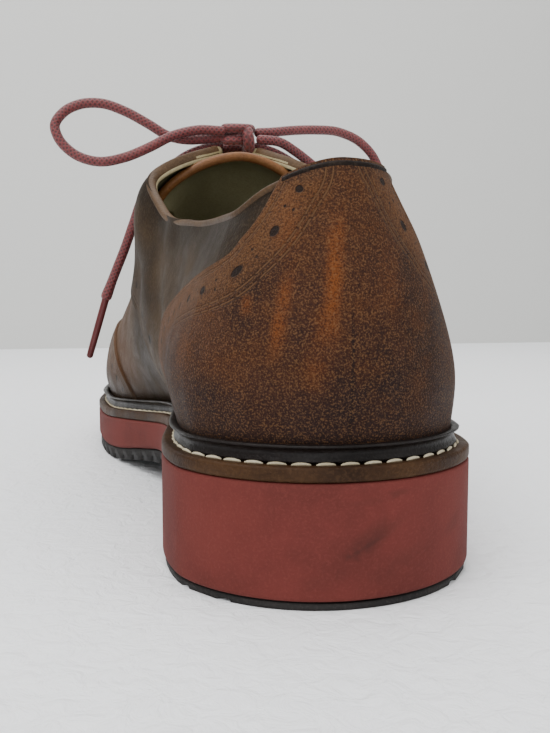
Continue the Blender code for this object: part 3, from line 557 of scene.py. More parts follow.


# Leather: mottled colour over grain. Zones tint it by height or length, painted light and shade by the
# distance from an edge, streaks where it is rubbed; then the nap's specks, and rows of stitches and holes
# along the panel's edges, their channels and holes darkened as painted shade
def makeLeather(name, look):
    material = bpy.data.materials.new(name)
    tree, shader = newNodes(material)
    where = put(tree, "ShaderNodeTexCoord").outputs["Object"]
    axes = put(tree, "ShaderNodeSeparateXYZ")
    tree.links.new(where, axes.inputs[0])
    grain = useGroup(tree, grainGroup, Vector=where, Pore_Scale=look["pores"], Crease=look["crease"])
    cloud = noise(tree, where, 30.0, 4.0, 0.6)
    patch = noise(tree, where, 110.0, 4.0, 0.65, 0.3)
    speck = noise(tree, where, look["speckScale"], 2.0, 0.65)
    base = blendColour(tree, spread(tree, cloud, 0.38, 0.64), look["dark"], look["colour"])
    base = blendColour(tree, times(tree, spread(tree, patch, 0.48, 0.70), look["patch"]), base, look["light"])
    for axis, start, end, colour, strength in look.get("zones", ()):
        zone = times(tree, spread(tree, axes.outputs[axis], start, end), strength)
        base = blendColour(tree, zone, base, colour)
    # painted light and shade by the distance from an edge: darker under a rim, lighter along the counter's
    # edge
    for edge, near, far, colour, strength in look.get("paintedShading", ()):
        shade = times(tree, spread(tree, attribute(tree, edge + "Away"), far, near), strength)
        base = blendColour(tree, shade, base, colour)
    for *ends, strength in look.get("streaks", ()):
        broken = times(tree, streakAt(tree, where, *ends), spread(tree, patch, 0.30, 0.62, 0.35, 1.0))
        base = blendColour(tree, times(tree, broken, strength), base, look["rubbed"])
    for *ends, strength in look.get("lines", ()):
        base = blendColour(tree, times(tree, streakAt(tree, where, *ends), strength), base, look["deep"])
    base = blendColour(tree, times(tree, spread(tree, speck, 0.51, 0.64), look["speck"]), base, look["tip"])
    base = blendColour(tree, times(tree, spread(tree, speck, 0.49, 0.38), look["speck"]), base, look["deep"])
    height = times(tree, grain["Height"], look["grain"])
    height = plus(tree, height, times(tree, speck, look["nap"]))
    rows = [
        rowAlong(
            tree, stitchGroup, edge, Row=row, Pitch=look["stitchPitch"], Length=look["stitchPitch"] * 0.72,
            Width=0.00030)
        for edge, row in look.get("stitches", ())]
    for stitch in rows:
        # painted shade: each stitch channel darkened toward the deep colour
        base = blendColour(tree, times(tree, stitch["Dent"], 0.30), base, look["deep"])
        base = blendColour(tree, times(tree, stitch["Thread"], 0.8), base, look["thread"])
        height = minus(tree, height, times(tree, stitch["Dent"], 0.9))
        height = plus(tree, height, times(tree, stitch["Thread"], 1.2))
    for edge, row, pitch, radius, phase in look.get("holes", ()):
        hole = rowAlong(tree, holeGroup, edge, Row=row, Pitch=pitch, Radius=radius, Phase=phase)
        # painted shade: a darker ring round each punched hole and a near-black fill inside it
        base = blendColour(tree, times(tree, hole["Rim"], 0.25), base, look["deep"])
        base = blendColour(tree, times(tree, hole["Hole"], 0.92), base, look["hole"])
        height = minus(tree, height, times(tree, hole["Hole"], 3.0))
    tree.links.new(base, shader.inputs["Base Color"])
    rough = spread(tree, patch, 0.3, 0.7, look["rough"] - 0.08, look["rough"] + 0.08)
    tree.links.new(rough, shader.inputs["Roughness"])
    addBump(tree, shader, height, look["bump"], 0.0003)
    shader.inputs["Specular IOR Level"].default_value = look["specular"]
    shader.inputs["Sheen Weight"].default_value = look["sheen"]
    shader.inputs["Sheen Roughness"].default_value = 0.4
    shader.inputs["Sheen Tint"].default_value = (*look["sheenTint"], 1.0)
    return material


counterLook = {
    "colour": (0.050, 0.0175, 0.0072), "dark": (0.017, 0.0072, 0.0050), "light": (0.078, 0.028, 0.010),
    "deep": (0.0075, 0.0040, 0.0035), "tip": (0.135, 0.066, 0.027), "hole": (0.008, 0.005, 0.004),
    "thread": (0.10, 0.048, 0.020), "rubbed": (0.155, 0.043, 0.008),
    "patch": 0.50, "speck": 0.58, "speckScale": 2500.0, "grain": 0.3, "nap": 1.3, "crease": 0.1,
    "pores": 1500.0,
    "bump": 0.8, "rough": 0.72, "specular": 0.12, "sheen": 0.03, "sheenTint": (0.75, 0.66, 0.60),
    "stitchPitch": 0.0024,
    "zones": (
        (2, 0.054, 0.032, (0.017, 0.0085, 0.0075), 0.85),  # darker toward the foot
        (2, 0.064, 0.086, (0.080, 0.028, 0.009), 0.50),  # painted light: lighter and warmer toward the top
    ),
    # painted highlight: a lighter band along the counter's edge; painted shade just under the collar binding
    "paintedShading": (("edge", 0.004, 0.014, (0.105, 0.044, 0.015), 0.55),
    ("rim", 0.001, 0.005, (0.025, 0.012, 0.008), 0.5)),
    "streaks": (
        (-0.0064, 0.0770, -0.0088, 0.0560, 0.0020, 0.80), (-0.0163, 0.0660, -0.0188, 0.0525, 0.0016, 0.80),
        (-0.0235, 0.0630, -0.0242, 0.0590, 0.0012, 0.50), (-0.0095, 0.0600, -0.0110, 0.0450, 0.0034, 0.35),
        (0.0045, 0.0740, 0.0050, 0.0610, 0.0030, 0.22), (-0.0150, 0.0830, -0.0165, 0.0700, 0.0026, 0.30),
    ),
    "lines": ((-0.0040, 0.0600, -0.0040, 0.0290, 0.00040, 0.75),),  # back seam
    "stitches": (("edge", 0.0017), ("edge", 0.0098), ("edge", 0.0112)),
    "holes": (
        ("edge", 0.0058, 0.0090, 0.00095, 0.0), ("edge", 0.0047, 0.0090, 0.00030, 0.5),
        ("edge", 0.0069, 0.0090, 0.00030, 0.5)),
}
quarterLook = {
    **counterLook, "colour": (0.046, 0.029, 0.0155), "dark": (0.020, 0.0125, 0.0072),
    "light": (0.075, 0.049, 0.028),
    "deep": (0.014, 0.009, 0.006), "tip": (0.11, 0.075, 0.045), "patch": 0.20, "speck": 0.16,
    "speckScale": 1300.0,
    "grain": 0.5, "nap": 0.3, "crease": 0.3, "bump": 0.5, "rough": 0.50, "specular": 0.07, "sheen": 0.0,
    "lines": (),
    "thread": (0.075, 0.046, 0.027), "stitches": (("edge", 0.0017), ("edge", 0.0032)),
    "zones": (), "streaks": (),
    # painted shade: a dark band just under the rolled rim
    "paintedShading": (("rim", 0.002, 0.014, (0.013, 0.009, 0.006), 0.80),),
    "holes": (
        ("edge", 0.0075, 0.0090, 0.00115, 0.0), ("edge", 0.0064, 0.0090, 0.00036, 0.5),
        ("edge", 0.0086, 0.0090, 0.00036, 0.5)),
}
vampLook = {
    **quarterLook, "stitches": (), "holes": (), "paintedShading": (),
    "zones": ((1, -0.025, 0.010, (0.100, 0.040, 0.013), 0.55), (2, 0.040, 0.024, (0.018, 0.012, 0.008), 0.8)),
}
wingLook = {**quarterLook, "paintedShading": (), "zones": vampLook["zones"]}
plainLook = {**quarterLook, "stitches": (), "holes": (), "paintedShading": ()}
liningLook = {
    **plainLook, "colour": (0.155, 0.140, 0.078), "dark": (0.105, 0.094, 0.052), "light": (0.23, 0.21, 0.125),
    "tip": (0.25, 0.23, 0.14), "deep": (0.06, 0.05, 0.03), "speck": 0.12, "rough": 0.62, "specular": 0.2,
}
bindingLook = {
    **plainLook, "colour": (0.014, 0.0085, 0.006), "dark": (0.008, 0.005, 0.004),
    "light": (0.04, 0.028, 0.02),
    "tip": (0.06, 0.042, 0.028), "deep": (0.005, 0.003, 0.003), "rough": 0.50, "specular": 0.08,
}
# painted highlight: the quarter's rolled rim gets a lighter copy of the quarter leather's colours, for light
# on the roll's top
litRimLook = {
    **plainLook, "colour": (0.088, 0.050, 0.024), "dark": (0.050, 0.027, 0.013),
    "light": (0.15, 0.092, 0.046),
    "tip": (0.18, 0.11, 0.055), "deep": (0.018, 0.010, 0.006), "rough": 0.44, "specular": 0.14,
}
pipingLook = {
    **plainLook, "colour": (0.20, 0.080, 0.024), "dark": (0.11, 0.044, 0.015), "light": (0.28, 0.13, 0.045),
    "tip": (0.30, 0.16, 0.06), "deep": (0.035, 0.016, 0.007), "rough": 0.48, "specular": 0.25,
}
facingLook = {
    **plainLook, "colour": (0.36, 0.30, 0.17), "dark": (0.24, 0.20, 0.11), "light": (0.46, 0.40, 0.26),
    "tip": (0.48, 0.43, 0.28), "deep": (0.15, 0.12, 0.06), "rough": 0.58, "specular": 0.2,
}
# painted light: the tongue's lining gets a lighter copy of the lining leather's colours, for light falling
# into the opening
litTongueLook = {
    **liningLook, "colour": (0.31, 0.285, 0.165), "dark": (0.25, 0.225, 0.125), "light": (0.40, 0.37, 0.23),
    "tip": (0.42, 0.39, 0.25), "crease": 0.05, "grain": 0.2,
}
randLook = {
    **plainLook, "colour": (0.0085, 0.0055, 0.005), "dark": (0.005, 0.0035, 0.003),
    "light": (0.018, 0.013, 0.011),
    "tip": (0.028, 0.021, 0.018), "deep": (0.003, 0.002, 0.002), "rough": 0.38, "specular": 0.16,
}
weltLook = {
    **plainLook, "colour": (0.046, 0.022, 0.0095), "dark": (0.020, 0.0095, 0.005),
    "light": (0.085, 0.044, 0.019),
    "tip": (0.10, 0.054, 0.025), "deep": (0.009, 0.005, 0.003), "rough": 0.50, "specular": 0.08,
}
counterLeather = makeLeather("counter_leather", counterLook)
quarterLeather = makeLeather("quarter_leather", quarterLook)
vampLeather = makeLeather("vamp_leather", vampLook)
wingLeather = makeLeather("wing_leather", wingLook)
liningLeather = makeLeather("lining_leather", liningLook)
bindingLeather = makeLeather("binding_leather", bindingLook)
litRimLeather = makeLeather("rim_leather_lit", litRimLook)
pipingLeather = makeLeather("piping_leather", pipingLook)
facingLeather = makeLeather("facing_leather", facingLook)
litTongueLeather = makeLeather("tongue_leather_lit", litTongueLook)
randRubber = makeLeather("rand_rubber", randLook)
weltLeather = makeLeather("welt_leather", weltLook)


# Foam and rubber: one colour, softly mottled, with a fine grain
def makeFoam(name, look):
    material = bpy.data.materials.new(name)
    tree, shader = newNodes(material)
    where = put(tree, "ShaderNodeTexCoord").outputs["Object"]
    cloud = noise(tree, where, 40.0, 4.0, 0.6)
    patch = noise(tree, where, 160.0, 4.0, 0.65, 0.5)
    speck = noise(tree, where, 1700.0, 2.0, 0.6)
    base = blendColour(tree, spread(tree, cloud, 0.35, 0.65), look["dark"], look["colour"])
    grainy = times(tree, spread(tree, speck, 0.45, 0.75), look.get("speck", 0.3))
    base = blendColour(tree, grainy, base, look["light"])
    for *ends, strength in look.get("smudges", ()):
        broken = times(tree, streakAt(tree, where, *ends), spread(tree, patch, 0.40, 0.60, 0.15, 1.0))
        base = blendColour(tree, times(tree, broken, strength), base, look["dirt"])
    tree.links.new(base, shader.inputs["Base Color"])
    shader.inputs["Roughness"].default_value = look["rough"]
    shader.inputs["Specular IOR Level"].default_value = 0.18
    addBump(tree, shader, speck, look["bump"], 0.0002)
    return material


midsoleFoam = makeFoam("midsole_foam", {
    "colour": (0.118, 0.0235, 0.0190), "dark": (0.090, 0.0185, 0.0150), "light": (0.175, 0.044, 0.034),
    "rough": 0.80,
    "bump": 0.5, "speck": 0.25, "dirt": (0.040, 0.013, 0.010),
    "smudges": (
        (0.0035, 0.0175, -0.0105, 0.0060, 0.0040, 0.50), (0.0015, 0.0145, -0.0060, 0.0105, 0.0012, 0.45),
        (0.0080, 0.0240, -0.0020, 0.0215, 0.0050, 0.35), (0.0230, 0.0160, 0.0200, 0.0120, 0.0030, 0.25),
        (0.0120, 0.0120, 0.0020, 0.0050, 0.0060, 0.25),
    )})
treadRubber = makeFoam("tread_rubber", {
    "colour": (0.020, 0.018, 0.017), "dark": (0.012, 0.011, 0.011), "light": (0.06, 0.055, 0.05),
    "rough": 0.65, "bump": 0.7})
weltThread = makeFoam("welt_thread", {
    "colour": (0.60, 0.53, 0.38), "dark": (0.42, 0.36, 0.24), "light": (0.75, 0.70, 0.56), "rough": 0.7,
    "bump": 0.6})


# Braided lace: two families of slanting strands from the length along and the turn round the cord
def makeLace(name, look):
    material = bpy.data.materials.new(name)
    tree, shader = newNodes(material)
    along = ratio(tree, attribute(tree, "along"), look["strand"])
    turn = times(tree, attribute(tree, "round"), look["strands"])
    left = compute(tree, "SINE", times(tree, plus(tree, along, turn), 2 * math.pi))
    right = compute(tree, "SINE", times(tree, minus(tree, along, turn), 2 * math.pi))
    weave = compute(tree, "MAXIMUM", left, right)
    height = spread(tree, weave, -0.6, 1.0)
    where = put(tree, "ShaderNodeTexCoord").outputs["Object"]
    cloud = noise(tree, where, 120.0, 3.0, 0.6)
    # painted shade: the low parts of the weave are darkened toward the deep colour
    base = blendColour(tree, height, look["deep"], look["colour"])
    base = blendColour(tree, times(tree, spread(tree, cloud, 0.5, 0.75), 0.4), base, look["light"])
    tree.links.new(base, shader.inputs["Base Color"])
    shader.inputs["Roughness"].default_value = look["rough"]
    shader.inputs["Sheen Weight"].default_value = 0.15
    addBump(tree, shader, height, 0.8, 0.0002)
    return material


laceBraid = makeLace("lace_braid", {
    "colour": (0.145, 0.0175, 0.018), "deep": (0.042, 0.006, 0.007), "light": (0.22, 0.040, 0.038),
    "strand": 0.0016, "strands": 6.0, "rough": 0.55})
agletPlastic = makeFoam("aglet_plastic", {
    "colour": (0.10, 0.026, 0.027), "dark": (0.075, 0.018, 0.018), "light": (0.16, 0.05, 0.045),
    "rough": 0.28, "bump": 0.1})

# The lace outside the shoe: routes in metres from the knot outwards, repeated from the CAD source
cords = {
    "diameter": 0.0034, "agletDiameter": 0.0026, "agletLength": 0.022, "knot": (-0.0033, -0.0112, 0.1203),
    "loopMedial": (
        (-0.0101, -0.0134, 0.1210), (-0.0180, -0.0134, 0.1210), (-0.0275, -0.0132, 0.1186),
        (-0.0357, -0.0125, 0.1144), (-0.0441, -0.0115, 0.1109), (-0.0530, -0.0105, 0.1094),
        (-0.0610, -0.0095, 0.1119), (-0.0662, -0.0090, 0.1173), (-0.0673, -0.0085, 0.1213),
        (-0.0641, -0.0082, 0.1262), (-0.0589, -0.0080, 0.1290), (-0.0515, -0.0080, 0.1297),
        (-0.0430, -0.0080, 0.1272), (-0.0357, -0.0082, 0.1235), (-0.0277, -0.0085, 0.1192),
        (-0.0220, -0.0095, 0.1182), (-0.0165, -0.0100, 0.1185), (-0.0101, -0.0101, 0.1192),
    ),
    "loopLateral": (
        (0.0036, -0.0098, 0.1216), (0.0083, -0.0092, 0.1221), (0.0170, -0.0072, 0.1235),
        (0.0257, -0.0050, 0.1245), (0.0362, -0.0020, 0.1247), (0.0459, 0.0008, 0.1215),
        (0.0520, 0.0024, 0.1158), (0.0544, 0.0030, 0.1100), (0.0530, 0.0028, 0.1050),
        (0.0480, 0.0018, 0.1020), (0.0400, -0.0010, 0.1024), (0.0310, -0.0048, 0.1070),
        (0.0232, -0.0082, 0.1120), (0.0170, -0.0108, 0.1154), (0.0109, -0.0130, 0.1180),
        (0.0036, -0.0140, 0.1184),
    ),
    "endMedial": (
        (-0.0101, -0.0072, 0.1167), (-0.0160, -0.0072, 0.1156), (-0.0220, -0.0072, 0.1130),
        (-0.0280, -0.0055, 0.1086), (-0.0335, -0.0030, 0.1035), (-0.0373, -0.0006, 0.0986),
        (-0.0406, -0.0003, 0.0900), (-0.0439, -0.0002, 0.0807), (-0.0476, -0.0002, 0.0715),
        (-0.0509, -0.0002, 0.0630),
    ),
    "endLateral": (
        (0.0036, -0.0073, 0.1170), (0.0100, -0.0074, 0.1152), (0.0160, -0.0065, 0.1125),
        (0.0225, -0.0045, 0.1090), (0.0300, -0.0015, 0.1035), (0.0370, 0.0010, 0.0965),
        (0.0425, 0.0025, 0.0880), (0.0465, 0.0030, 0.0790), (0.0495, 0.0030, 0.0695),
        (0.0515, 0.0030, 0.0620),
    ),
    "tipMedial": (-0.0575, -0.0010, 0.0405), "tipLateral": (0.0570, 0.0030, 0.0405),
    "lengths": {"loopMedial": 0.128, "loopLateral": 0.121, "endMedial": 0.072, "endLateral": 0.079},
}


# One piece that stands for a CAD node, from tubes that keep their length along and their turn for the shader
def addTubes(name, node, tubes, material):
    values = {
        key: np.concatenate([tube[k].ravel() for tube in tubes]) for key, k in (("along", 3), ("round", 4))}
    piece = addPiece(name, [tube[:3] for tube in tubes], material, values, merge=0)
    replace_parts(piece, node)
    return piece


# Free run of lace: a tube that swells, by a bell over its last twentieth, where the aglet grips it
def addCord(key, node, farEnd):
    path = smoothRoute(cords[key], 0.0008)
    near = np.linspace(1, 0, len(path)) / 0.05
    flare = 0.16 * np.exp(-near * near) if farEnd == "fitting" else 0 * near
    tube = tubeGrid(path, cords["diameter"] / 2 * (1 + flare), (0.0, 1.0, 0.0), sides=24)
    piece = addTubes(node + "_braid", node, [tube], laceBraid)
    return piece


# Aglet: a thin hard sleeve whose radius swells slightly where it grips the lace and narrows toward its tip
def addAglet(key, tip, node):
    end = np.array(cords[key][-1])
    way = np.array(tip) - end
    way /= np.linalg.norm(way)
    t = np.linspace(0, 1, 50)
    path = end + way * (0.0004 + cords["agletLength"] * t)[:, None]
    radius = cords["agletDiameter"] / 2 * (1 + 0.10 * np.exp(-(t / 0.05) ** 2) - 0.12 * t**3)
    tube = tubeGrid(path, radius, (0.0, 1.0, 0.0), sides=20, capRings=4)
    return addTubes(node + "_sleeve", node, [tube], agletPlastic)


addCord("loopMedial", "lace_loop_medial", "object")
addCord("loopLateral", "lace_loop_lateral", "object")
agletMedial = addAglet("endMedial", cords["tipMedial"], "aglet_medial")
agletLateral = addAglet("endLateral", cords["tipLateral"], "aglet_lateral")
addCord("endMedial", "lace_end_medial", "fitting")
addCord("endLateral", "lace_end_lateral", "fitting")
print("cords done")


# Knot: closed wraps of the same lace round the crossing, each an ellipse in a tilted plane
def makeKnot():
    centre = np.array(cords["knot"])
    turn = np.linspace(0, 2 * math.pi, 96, endpoint=False)
    wraps = (
        # offset, first axis, second axis: an ellipse in the plane of the two axes; size of the lace
        ((-0.0008, -0.0004, 0.0020), (0.0046, 0.0002, 0.0001), (0.0, 0.0030, 0.0004), 1.0),
        ((0.0027, -0.0002, -0.0018), (0.0003, 0.0040, 0.0), (-0.0005, 0.0, 0.0034), 1.2),
        ((-0.0014, 0.0004, -0.0014), (0.0040, 0.0003, 0.0004), (0.0, 0.0026, 0.0010), 1.0),
    )
    tubes = []
    for offset, first, second, size in wraps:
        middle = centre + np.array(offset)
        path = middle + np.cos(turn)[:, None] * np.array(first) + np.sin(turn)[:, None] * np.array(second)
        radius = size * cords["diameter"] / 2
        tubes.append(tubeGrid(path, radius, np.cross(first, second), sides=20, closed=True))
    addTubes("lace_knot_wraps", "lace_knot", tubes, laceBraid)


makeKnot()

# Eyelets and the laced part: five pairs, strands that dip through the eyelets and cross over the tongue
lacing = {
    "pairs": 5, "top": 0.487, "bottom": 0.603, "inset": 0.10, "stand": 0.0025, "hump": 0.0016,
    "depth": -0.0040,
    "pulled": 0.94,  # share of its diameter a pulled run keeps
}
eyeletPlaces = np.linspace(aroundAt(lacing["top"]), aroundAt(lacing["bottom"]), lacing["pairs"])
eyeletOffsets = 1 - columnAt("rimIn", eyeletPlaces) + lacing["inset"]


# Runs of lace: each goes down at both ends, stands off the facings between them and may hump over another
def makeLacing():
    tubes = []
    runs = [(4, 4, 1, 0.0), (0, 0, 1, 0.0)]
    runs += [(k, k + 1, 1, lacing["hump"]) for k in range(4)] + [(k, k + 1, -1, 0.0) for k in range(4)]
    share = np.array([0.0, 0.0, 0.03, 0.12, 0.30, 0.5, 0.70, 0.88, 0.97, 1.0, 1.0])
    rising = [lacing["depth"], -0.0010, 0.0012, 0.0023, lacing["stand"]]
    stand = np.array(rising + [lacing["stand"]] + rising[::-1])
    lift = np.array([0, 0, 0, 0, 0.5, 1.0, 0.5, 0, 0, 0, 0])
    for start, end, way, hump in runs:
        place = eyeletPlaces[start] + (eyeletPlaces[end] - eyeletPlaces[start]) * share
        offset = way * (-eyeletOffsets[start] + (eyeletOffsets[end] + eyeletOffsets[start]) * share)
        path = smoothRoute(across(place, offset, stand + hump * lift), 0.0007)
        tubes.append(tubeGrid(path, cords["diameter"] / 2 * lacing["pulled"], (0.0, 1.0, -0.6), sides=18))
    addTubes("lace_crossings", "lace_bars", tubes, laceBraid)


makeLacing()
print("lace done")


# Soft troughs and ridges: (y, depth, half width, lean) across the vamp, as a change of stand-off
creases = {
    "vamp": ((0.052, 0.0011, 0.0030, 0.10), (0.062, 0.0008, 0.0026, -0.06), (0.043, 0.0006, 0.0028, 0.02)),
    "ridge": 0.45, "fade": 0.030,
}


# Folds of the quarters: (y, z) of both ends in the side view, depth and half width, for either side
folds = {
    -1.0: (
        ((-0.048, 0.088), (-0.062, 0.052), 0.0013, 0.0075),
        ((-0.030, 0.070), (-0.018, 0.042), 0.0009, 0.0080),
        ((-0.070, 0.078), (-0.085, 0.062), 0.0006, 0.0060)),
    1.0: (
        ((-0.045, 0.088), (-0.060, 0.055), 0.0011, 0.0075),
        ((-0.026, 0.068), (-0.014, 0.044), 0.0009, 0.0080)),
}


# A fold is a trough across the distance from its line in the side view, with a lower ridge on either side
def foldDepth(points, side):
    total = np.zeros(points.shape[:-1])
    flat = points * (0.0, 1.0, 1.0)
    for start, end, depth, width in folds[side]:
        away = nearLine(flat, np.array([(0.0, *start), (0.0, *end)]))[1] / width
        total += depth * (creases["ridge"] * np.exp(-((away - 1.9) ** 2)) - np.exp(-away * away))
    return total


# A crease is a trough across a line of the vamp that leans with x, and fades toward either side
def creaseDepth(points):
    x, y, z = points[..., 0], points[..., 1], points[..., 2]
    total = np.zeros_like(x)
    for place, depth, width, lean in creases["vamp"]:
        s = (y - place - lean * x) / width
        weight = np.exp(-((np.abs(x + 0.002) / creases["fade"]) ** 4))
        total += weight * depth * (creases["ridge"] * np.exp(-((np.abs(s) - 1.9) ** 2)) - np.exp(-s * s))
    return total


# Sheet of leather on the last between two edges, sheared so that its rows follow them. A rolled edge turns
# down as a quarter round and then straight in.
def panel(start, end, rows, columns, out, side, closed=False, rollStart=False, rollEnd=True):
    v = np.linspace(0, 1, columns)
    s = np.linspace(0, 1, rows)
    girth = start(v)[None] + (end(v) - start(v))[None] * s[:, None]
    rim = np.ones(rows) if closed else rimAt(girth[:, -1], side)
    rise = v[None] * rim[:, None]
    outs = np.full(girth.shape, out, float)
    radius = last["overlay"]
    for wanted, sign in ((rollEnd, 1), (rollStart, -1)):
        if not wanted:
            continue
        turn = np.array([0.35, 0.7, 1.0, 1.25])
        edge = girth[-1] if sign > 0 else girth[0]
        quarter = np.minimum(turn, 1) * math.pi / 2
        extra = edge[None] + sign * (radius * 0.8 * np.sin(quarter) / halfGirth)[:, None]
        drop = radius * (1 - np.cos(quarter)) + np.maximum(turn - 1, 0) * radius * 2
        extraOut = np.repeat((out - drop)[:, None], columns, 1)
        lastRise = np.repeat((rise[-1] if sign > 0 else rise[0])[None], len(turn), 0)
        if sign > 0:
            pairs = ((girth, extra), (rise, lastRise), (outs, extraOut))
        else:
            pairs = ((extra[::-1], girth), (lastRise, rise), (extraOut[::-1], outs))
        girth, rise, outs = (np.vstack(pair) for pair in pairs)
    return girth, rise, outs


# Function of the height that gives where a leather ends
def lineAt(table):
    return lambda v: edgeLine(table, v)


counterLine, quarterLine, wingLine = (
    lineAt(last[edge]) for edge in ("counterEdge", "quarterEdge", "wingEdge"))
lap = 0.004 / halfGirth  # how far one leather runs under the next


# The edge of a leather as a line of points on one side
def edgeCurve(line, side, out, closed):
    v = np.linspace(0, 1, 500)
    girth = line(v)
    rim = 1.0 if closed else float(rimAt(girth[-1], side))
    return lastPoint(girth, side, v * rim, out)


rimGirth = np.linspace(0, aroundAt(0.629), 700)
rimCurves = {side: lastPoint(rimGirth, side, rimAt(rimGirth, side), 0.0) for side in (-1.0, 1.0)}


# What a panel's shader reads: the place of each point along a curve, and its distance from it
def edgeValues(points, curves):
    values = {}
    for edge, curve in curves.items():
        values[edge + "Along"], values[edge + "Away"] = nearLine(points, curve)
    return values


def joined(values):
    return {key: np.concatenate([part[key].ravel() for part in values]) for key in values[0]}


# Counter: one sheet round the heel, from its inner edge over the back seam to its outer edge
def makeCounter():
    grids, values = [], []
    for side in (-1.0, 1.0):
        girth, rise, outs = panel(np.zeros_like, counterLine, 230, 150, last["overlay"], side)
        points = lastPoint(girth, side, rise, outs)
        outward = lastPoint(girth, side, rise, outs + probe) - points
        curves = {"edge": edgeCurve(counterLine, side, last["overlay"], False), "rim": rimCurves[side]}
        values.append(edgeValues(points, curves))
        grids.append((points, gridQuads(*girth.shape), outward))
    return addPiece("counter", grids, counterLeather, joined(values))


# Quarter: a sheet from under the counter to the facing's front, dented by its folds except near the crest
def makeQuarter(side, name):
    girth, rise, outs = panel(lambda v: counterLine(v) - lap, quarterLine, 300, 150, 0.0, side)
    points = lastPoint(girth, side, rise, outs)
    outward = lastPoint(girth, side, rise, outs + probe) - points
    fade = np.clip((1 - rise) * 6, 0, 1)
    points = points + outward / probe * (foldDepth(points, side) * fade)[..., None]
    curves = {"edge": edgeCurve(quarterLine, side, 0.0, True), "rim": rimCurves[side]}
    grid = (points, gridQuads(*girth.shape), outward)
    return addPiece(name, [grid], quarterLeather, edgeValues(points, curves))


# Vamp and wing cap run over the crest in one sheet: the height goes up the inner side and down the outer
def makeForepart(name, start, end, rows, out, material, roll):
    grids, values = [], []
    for side in (-1.0, 1.0):
        girth, rise, outs = panel(
            start, end, rows, 130, out, side, closed=True, rollStart=roll, rollEnd=False)
        points = lastPoint(girth, side, rise, outs)
        outward = lastPoint(girth, side, rise, outs + probe) - points
        points = points + outward / probe * creaseDepth(points)[..., None]
        values.append(edgeValues(points, {"edge": edgeCurve(start, side, out, True)}))
        grids.append((points, gridQuads(*girth.shape), outward))
    return addPiece(name, grids, material, joined(values))


upperPieces = [makeCounter(), makeQuarter(-1.0, "quarter_medial"), makeQuarter(1.0, "quarter_lateral")]
upperPieces.append(makeForepart(
    "vamp", lambda v: quarterLine(v) - lap, lambda v: wingLine(v) + lap, 130, -last["overlay"], vampLeather,
    False))
upperPieces.append(makeForepart("wing_cap", wingLine, np.ones_like, 260, 0.0, wingLeather, True))


# Lining: the inner skin of the whole upper, from the back seam to the toe
def makeLining():
    grids = []
    for side in (-1.0, 1.0):
        girth = np.repeat(np.linspace(0, 1, 200)[:, None], 60, 1)
        rise = np.linspace(0, 1, 60)[None] * rimAt(girth[:, 0], side)[:, None]
        points = lastPoint(girth, side, rise, -innerWall)
        outward = points - lastPoint(girth, side, rise, -innerWall + probe)
        grids.append((points, gridQuads(*girth.shape), outward))
    return addPiece("lining", grids, liningLeather, merge=1e-5)


# Rim: a roll over the topline whose section is an ellipse, from inner behind the edge to outer before it and
# high on either side of a middle that is lifted above it
def makeRim(name, first, final, rows, look, material):
    grids = []
    turn = np.linspace(0, 2 * math.pi, 28, endpoint=False)
    half = (look["outer"] + look["inner"]) / 2
    middle = (look["outer"] - look["inner"]) / 2
    for side in (-1.0, 1.0):
        girth = np.linspace(first, final, rows)
        edge = lastPoint(girth, side, rimAt(girth, side), middle)
        below = lastPoint(girth, side, rimAt(girth, side) - 0.03, middle)
        outward = lastPoint(girth, side, rimAt(girth, side), middle + probe) - edge
        up = edge - below
        up /= np.linalg.norm(up, axis=1, keepdims=True)
        outward /= np.linalg.norm(outward, axis=1, keepdims=True)
        outward -= (outward * up).sum(axis=1, keepdims=True) * up
        round_ = (
            outward[:, None] * np.cos(turn)[None, :, None] * half
            + up[:, None] * np.sin(turn)[None, :, None] * look["high"])
        points = edge[:, None] + up[:, None] * look["lift"] + round_
        grids.append((points, gridQuads(rows, len(turn), closedColumns=True), round_))
    return addPiece(name, grids, material)


upperPieces.append(makeLining())
counterTop = float(counterLine(np.array([1.0]))[0])
bindingRoll = {"outer": 0.0014, "inner": innerWall + 0.0002, "high": 0.0011, "lift": -0.0005}
quarterRoll = {"outer": 0.0008, "inner": innerWall + 0.0003, "high": 0.0012, "lift": -0.0004}
upperPieces.append(makeRim("collar_binding", 0.0, counterTop, 120, bindingRoll, bindingLeather))
upperPieces.append(makeRim("quarter_rim", counterTop - 0.004, aroundAt(0.45), 300, quarterRoll, litRimLeather))
liningRoll = {"outer": -0.0014, "inner": innerWall + 0.0008, "high": 0.0009, "lift": -0.0003}
upperPieces.append(makeRim("lining_edge", aroundAt(0.30), aroundAt(0.46), 160, liningRoll, facingLeather))
facingRoll = {"outer": 0.0003, "inner": innerWall, "high": 0.0008, "lift": 0.0}
upperPieces.append(makeRim("facing_edge", aroundAt(0.42), aroundAt(0.625), 200, facingRoll, facingLeather))
for piece in upperPieces:
    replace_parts(piece, "upper")
print("upper done")


# Rings carried round the foot line: each profile point is (margin, height function of y)
def ringGrid(profile, stations):
    rings = []
    for margin, height in profile:
        line = footLoop(margin, stations)
        rings.append(np.column_stack([line, height(line[:, 1] + shift[1])]))
    return np.stack(rings)


# Heights above the top of the midsole, and above the top of the tread
def overBy(extra):
    return lambda y: soleHeight(y, "soleOver") + extra


def treadBy(extra):
    return lambda y: soleHeight(y, "soleUnder") + treadDepth(y) + extra


# Outward direction of a ring piece: away from the middle of its own section
def ringOutward(points):
    return points - points.mean(axis=0, keepdims=True)


# Flat side of a ring closed straight across the shoe, pair by pair
def strip(ring, normalZ):
    count = len(ring)
    half = count // 2
    left = ring[: half + 1]
    right = ring[(count - np.arange(half + 1)) % count]
    t = np.linspace(0, 1, 9)[None, :, None]
    points = left[:, None] * (1 - t) + right[:, None] * t
    outward = np.zeros_like(points)
    outward[..., 2] = normalZ
    return points, gridQuads(half + 1, 9), outward


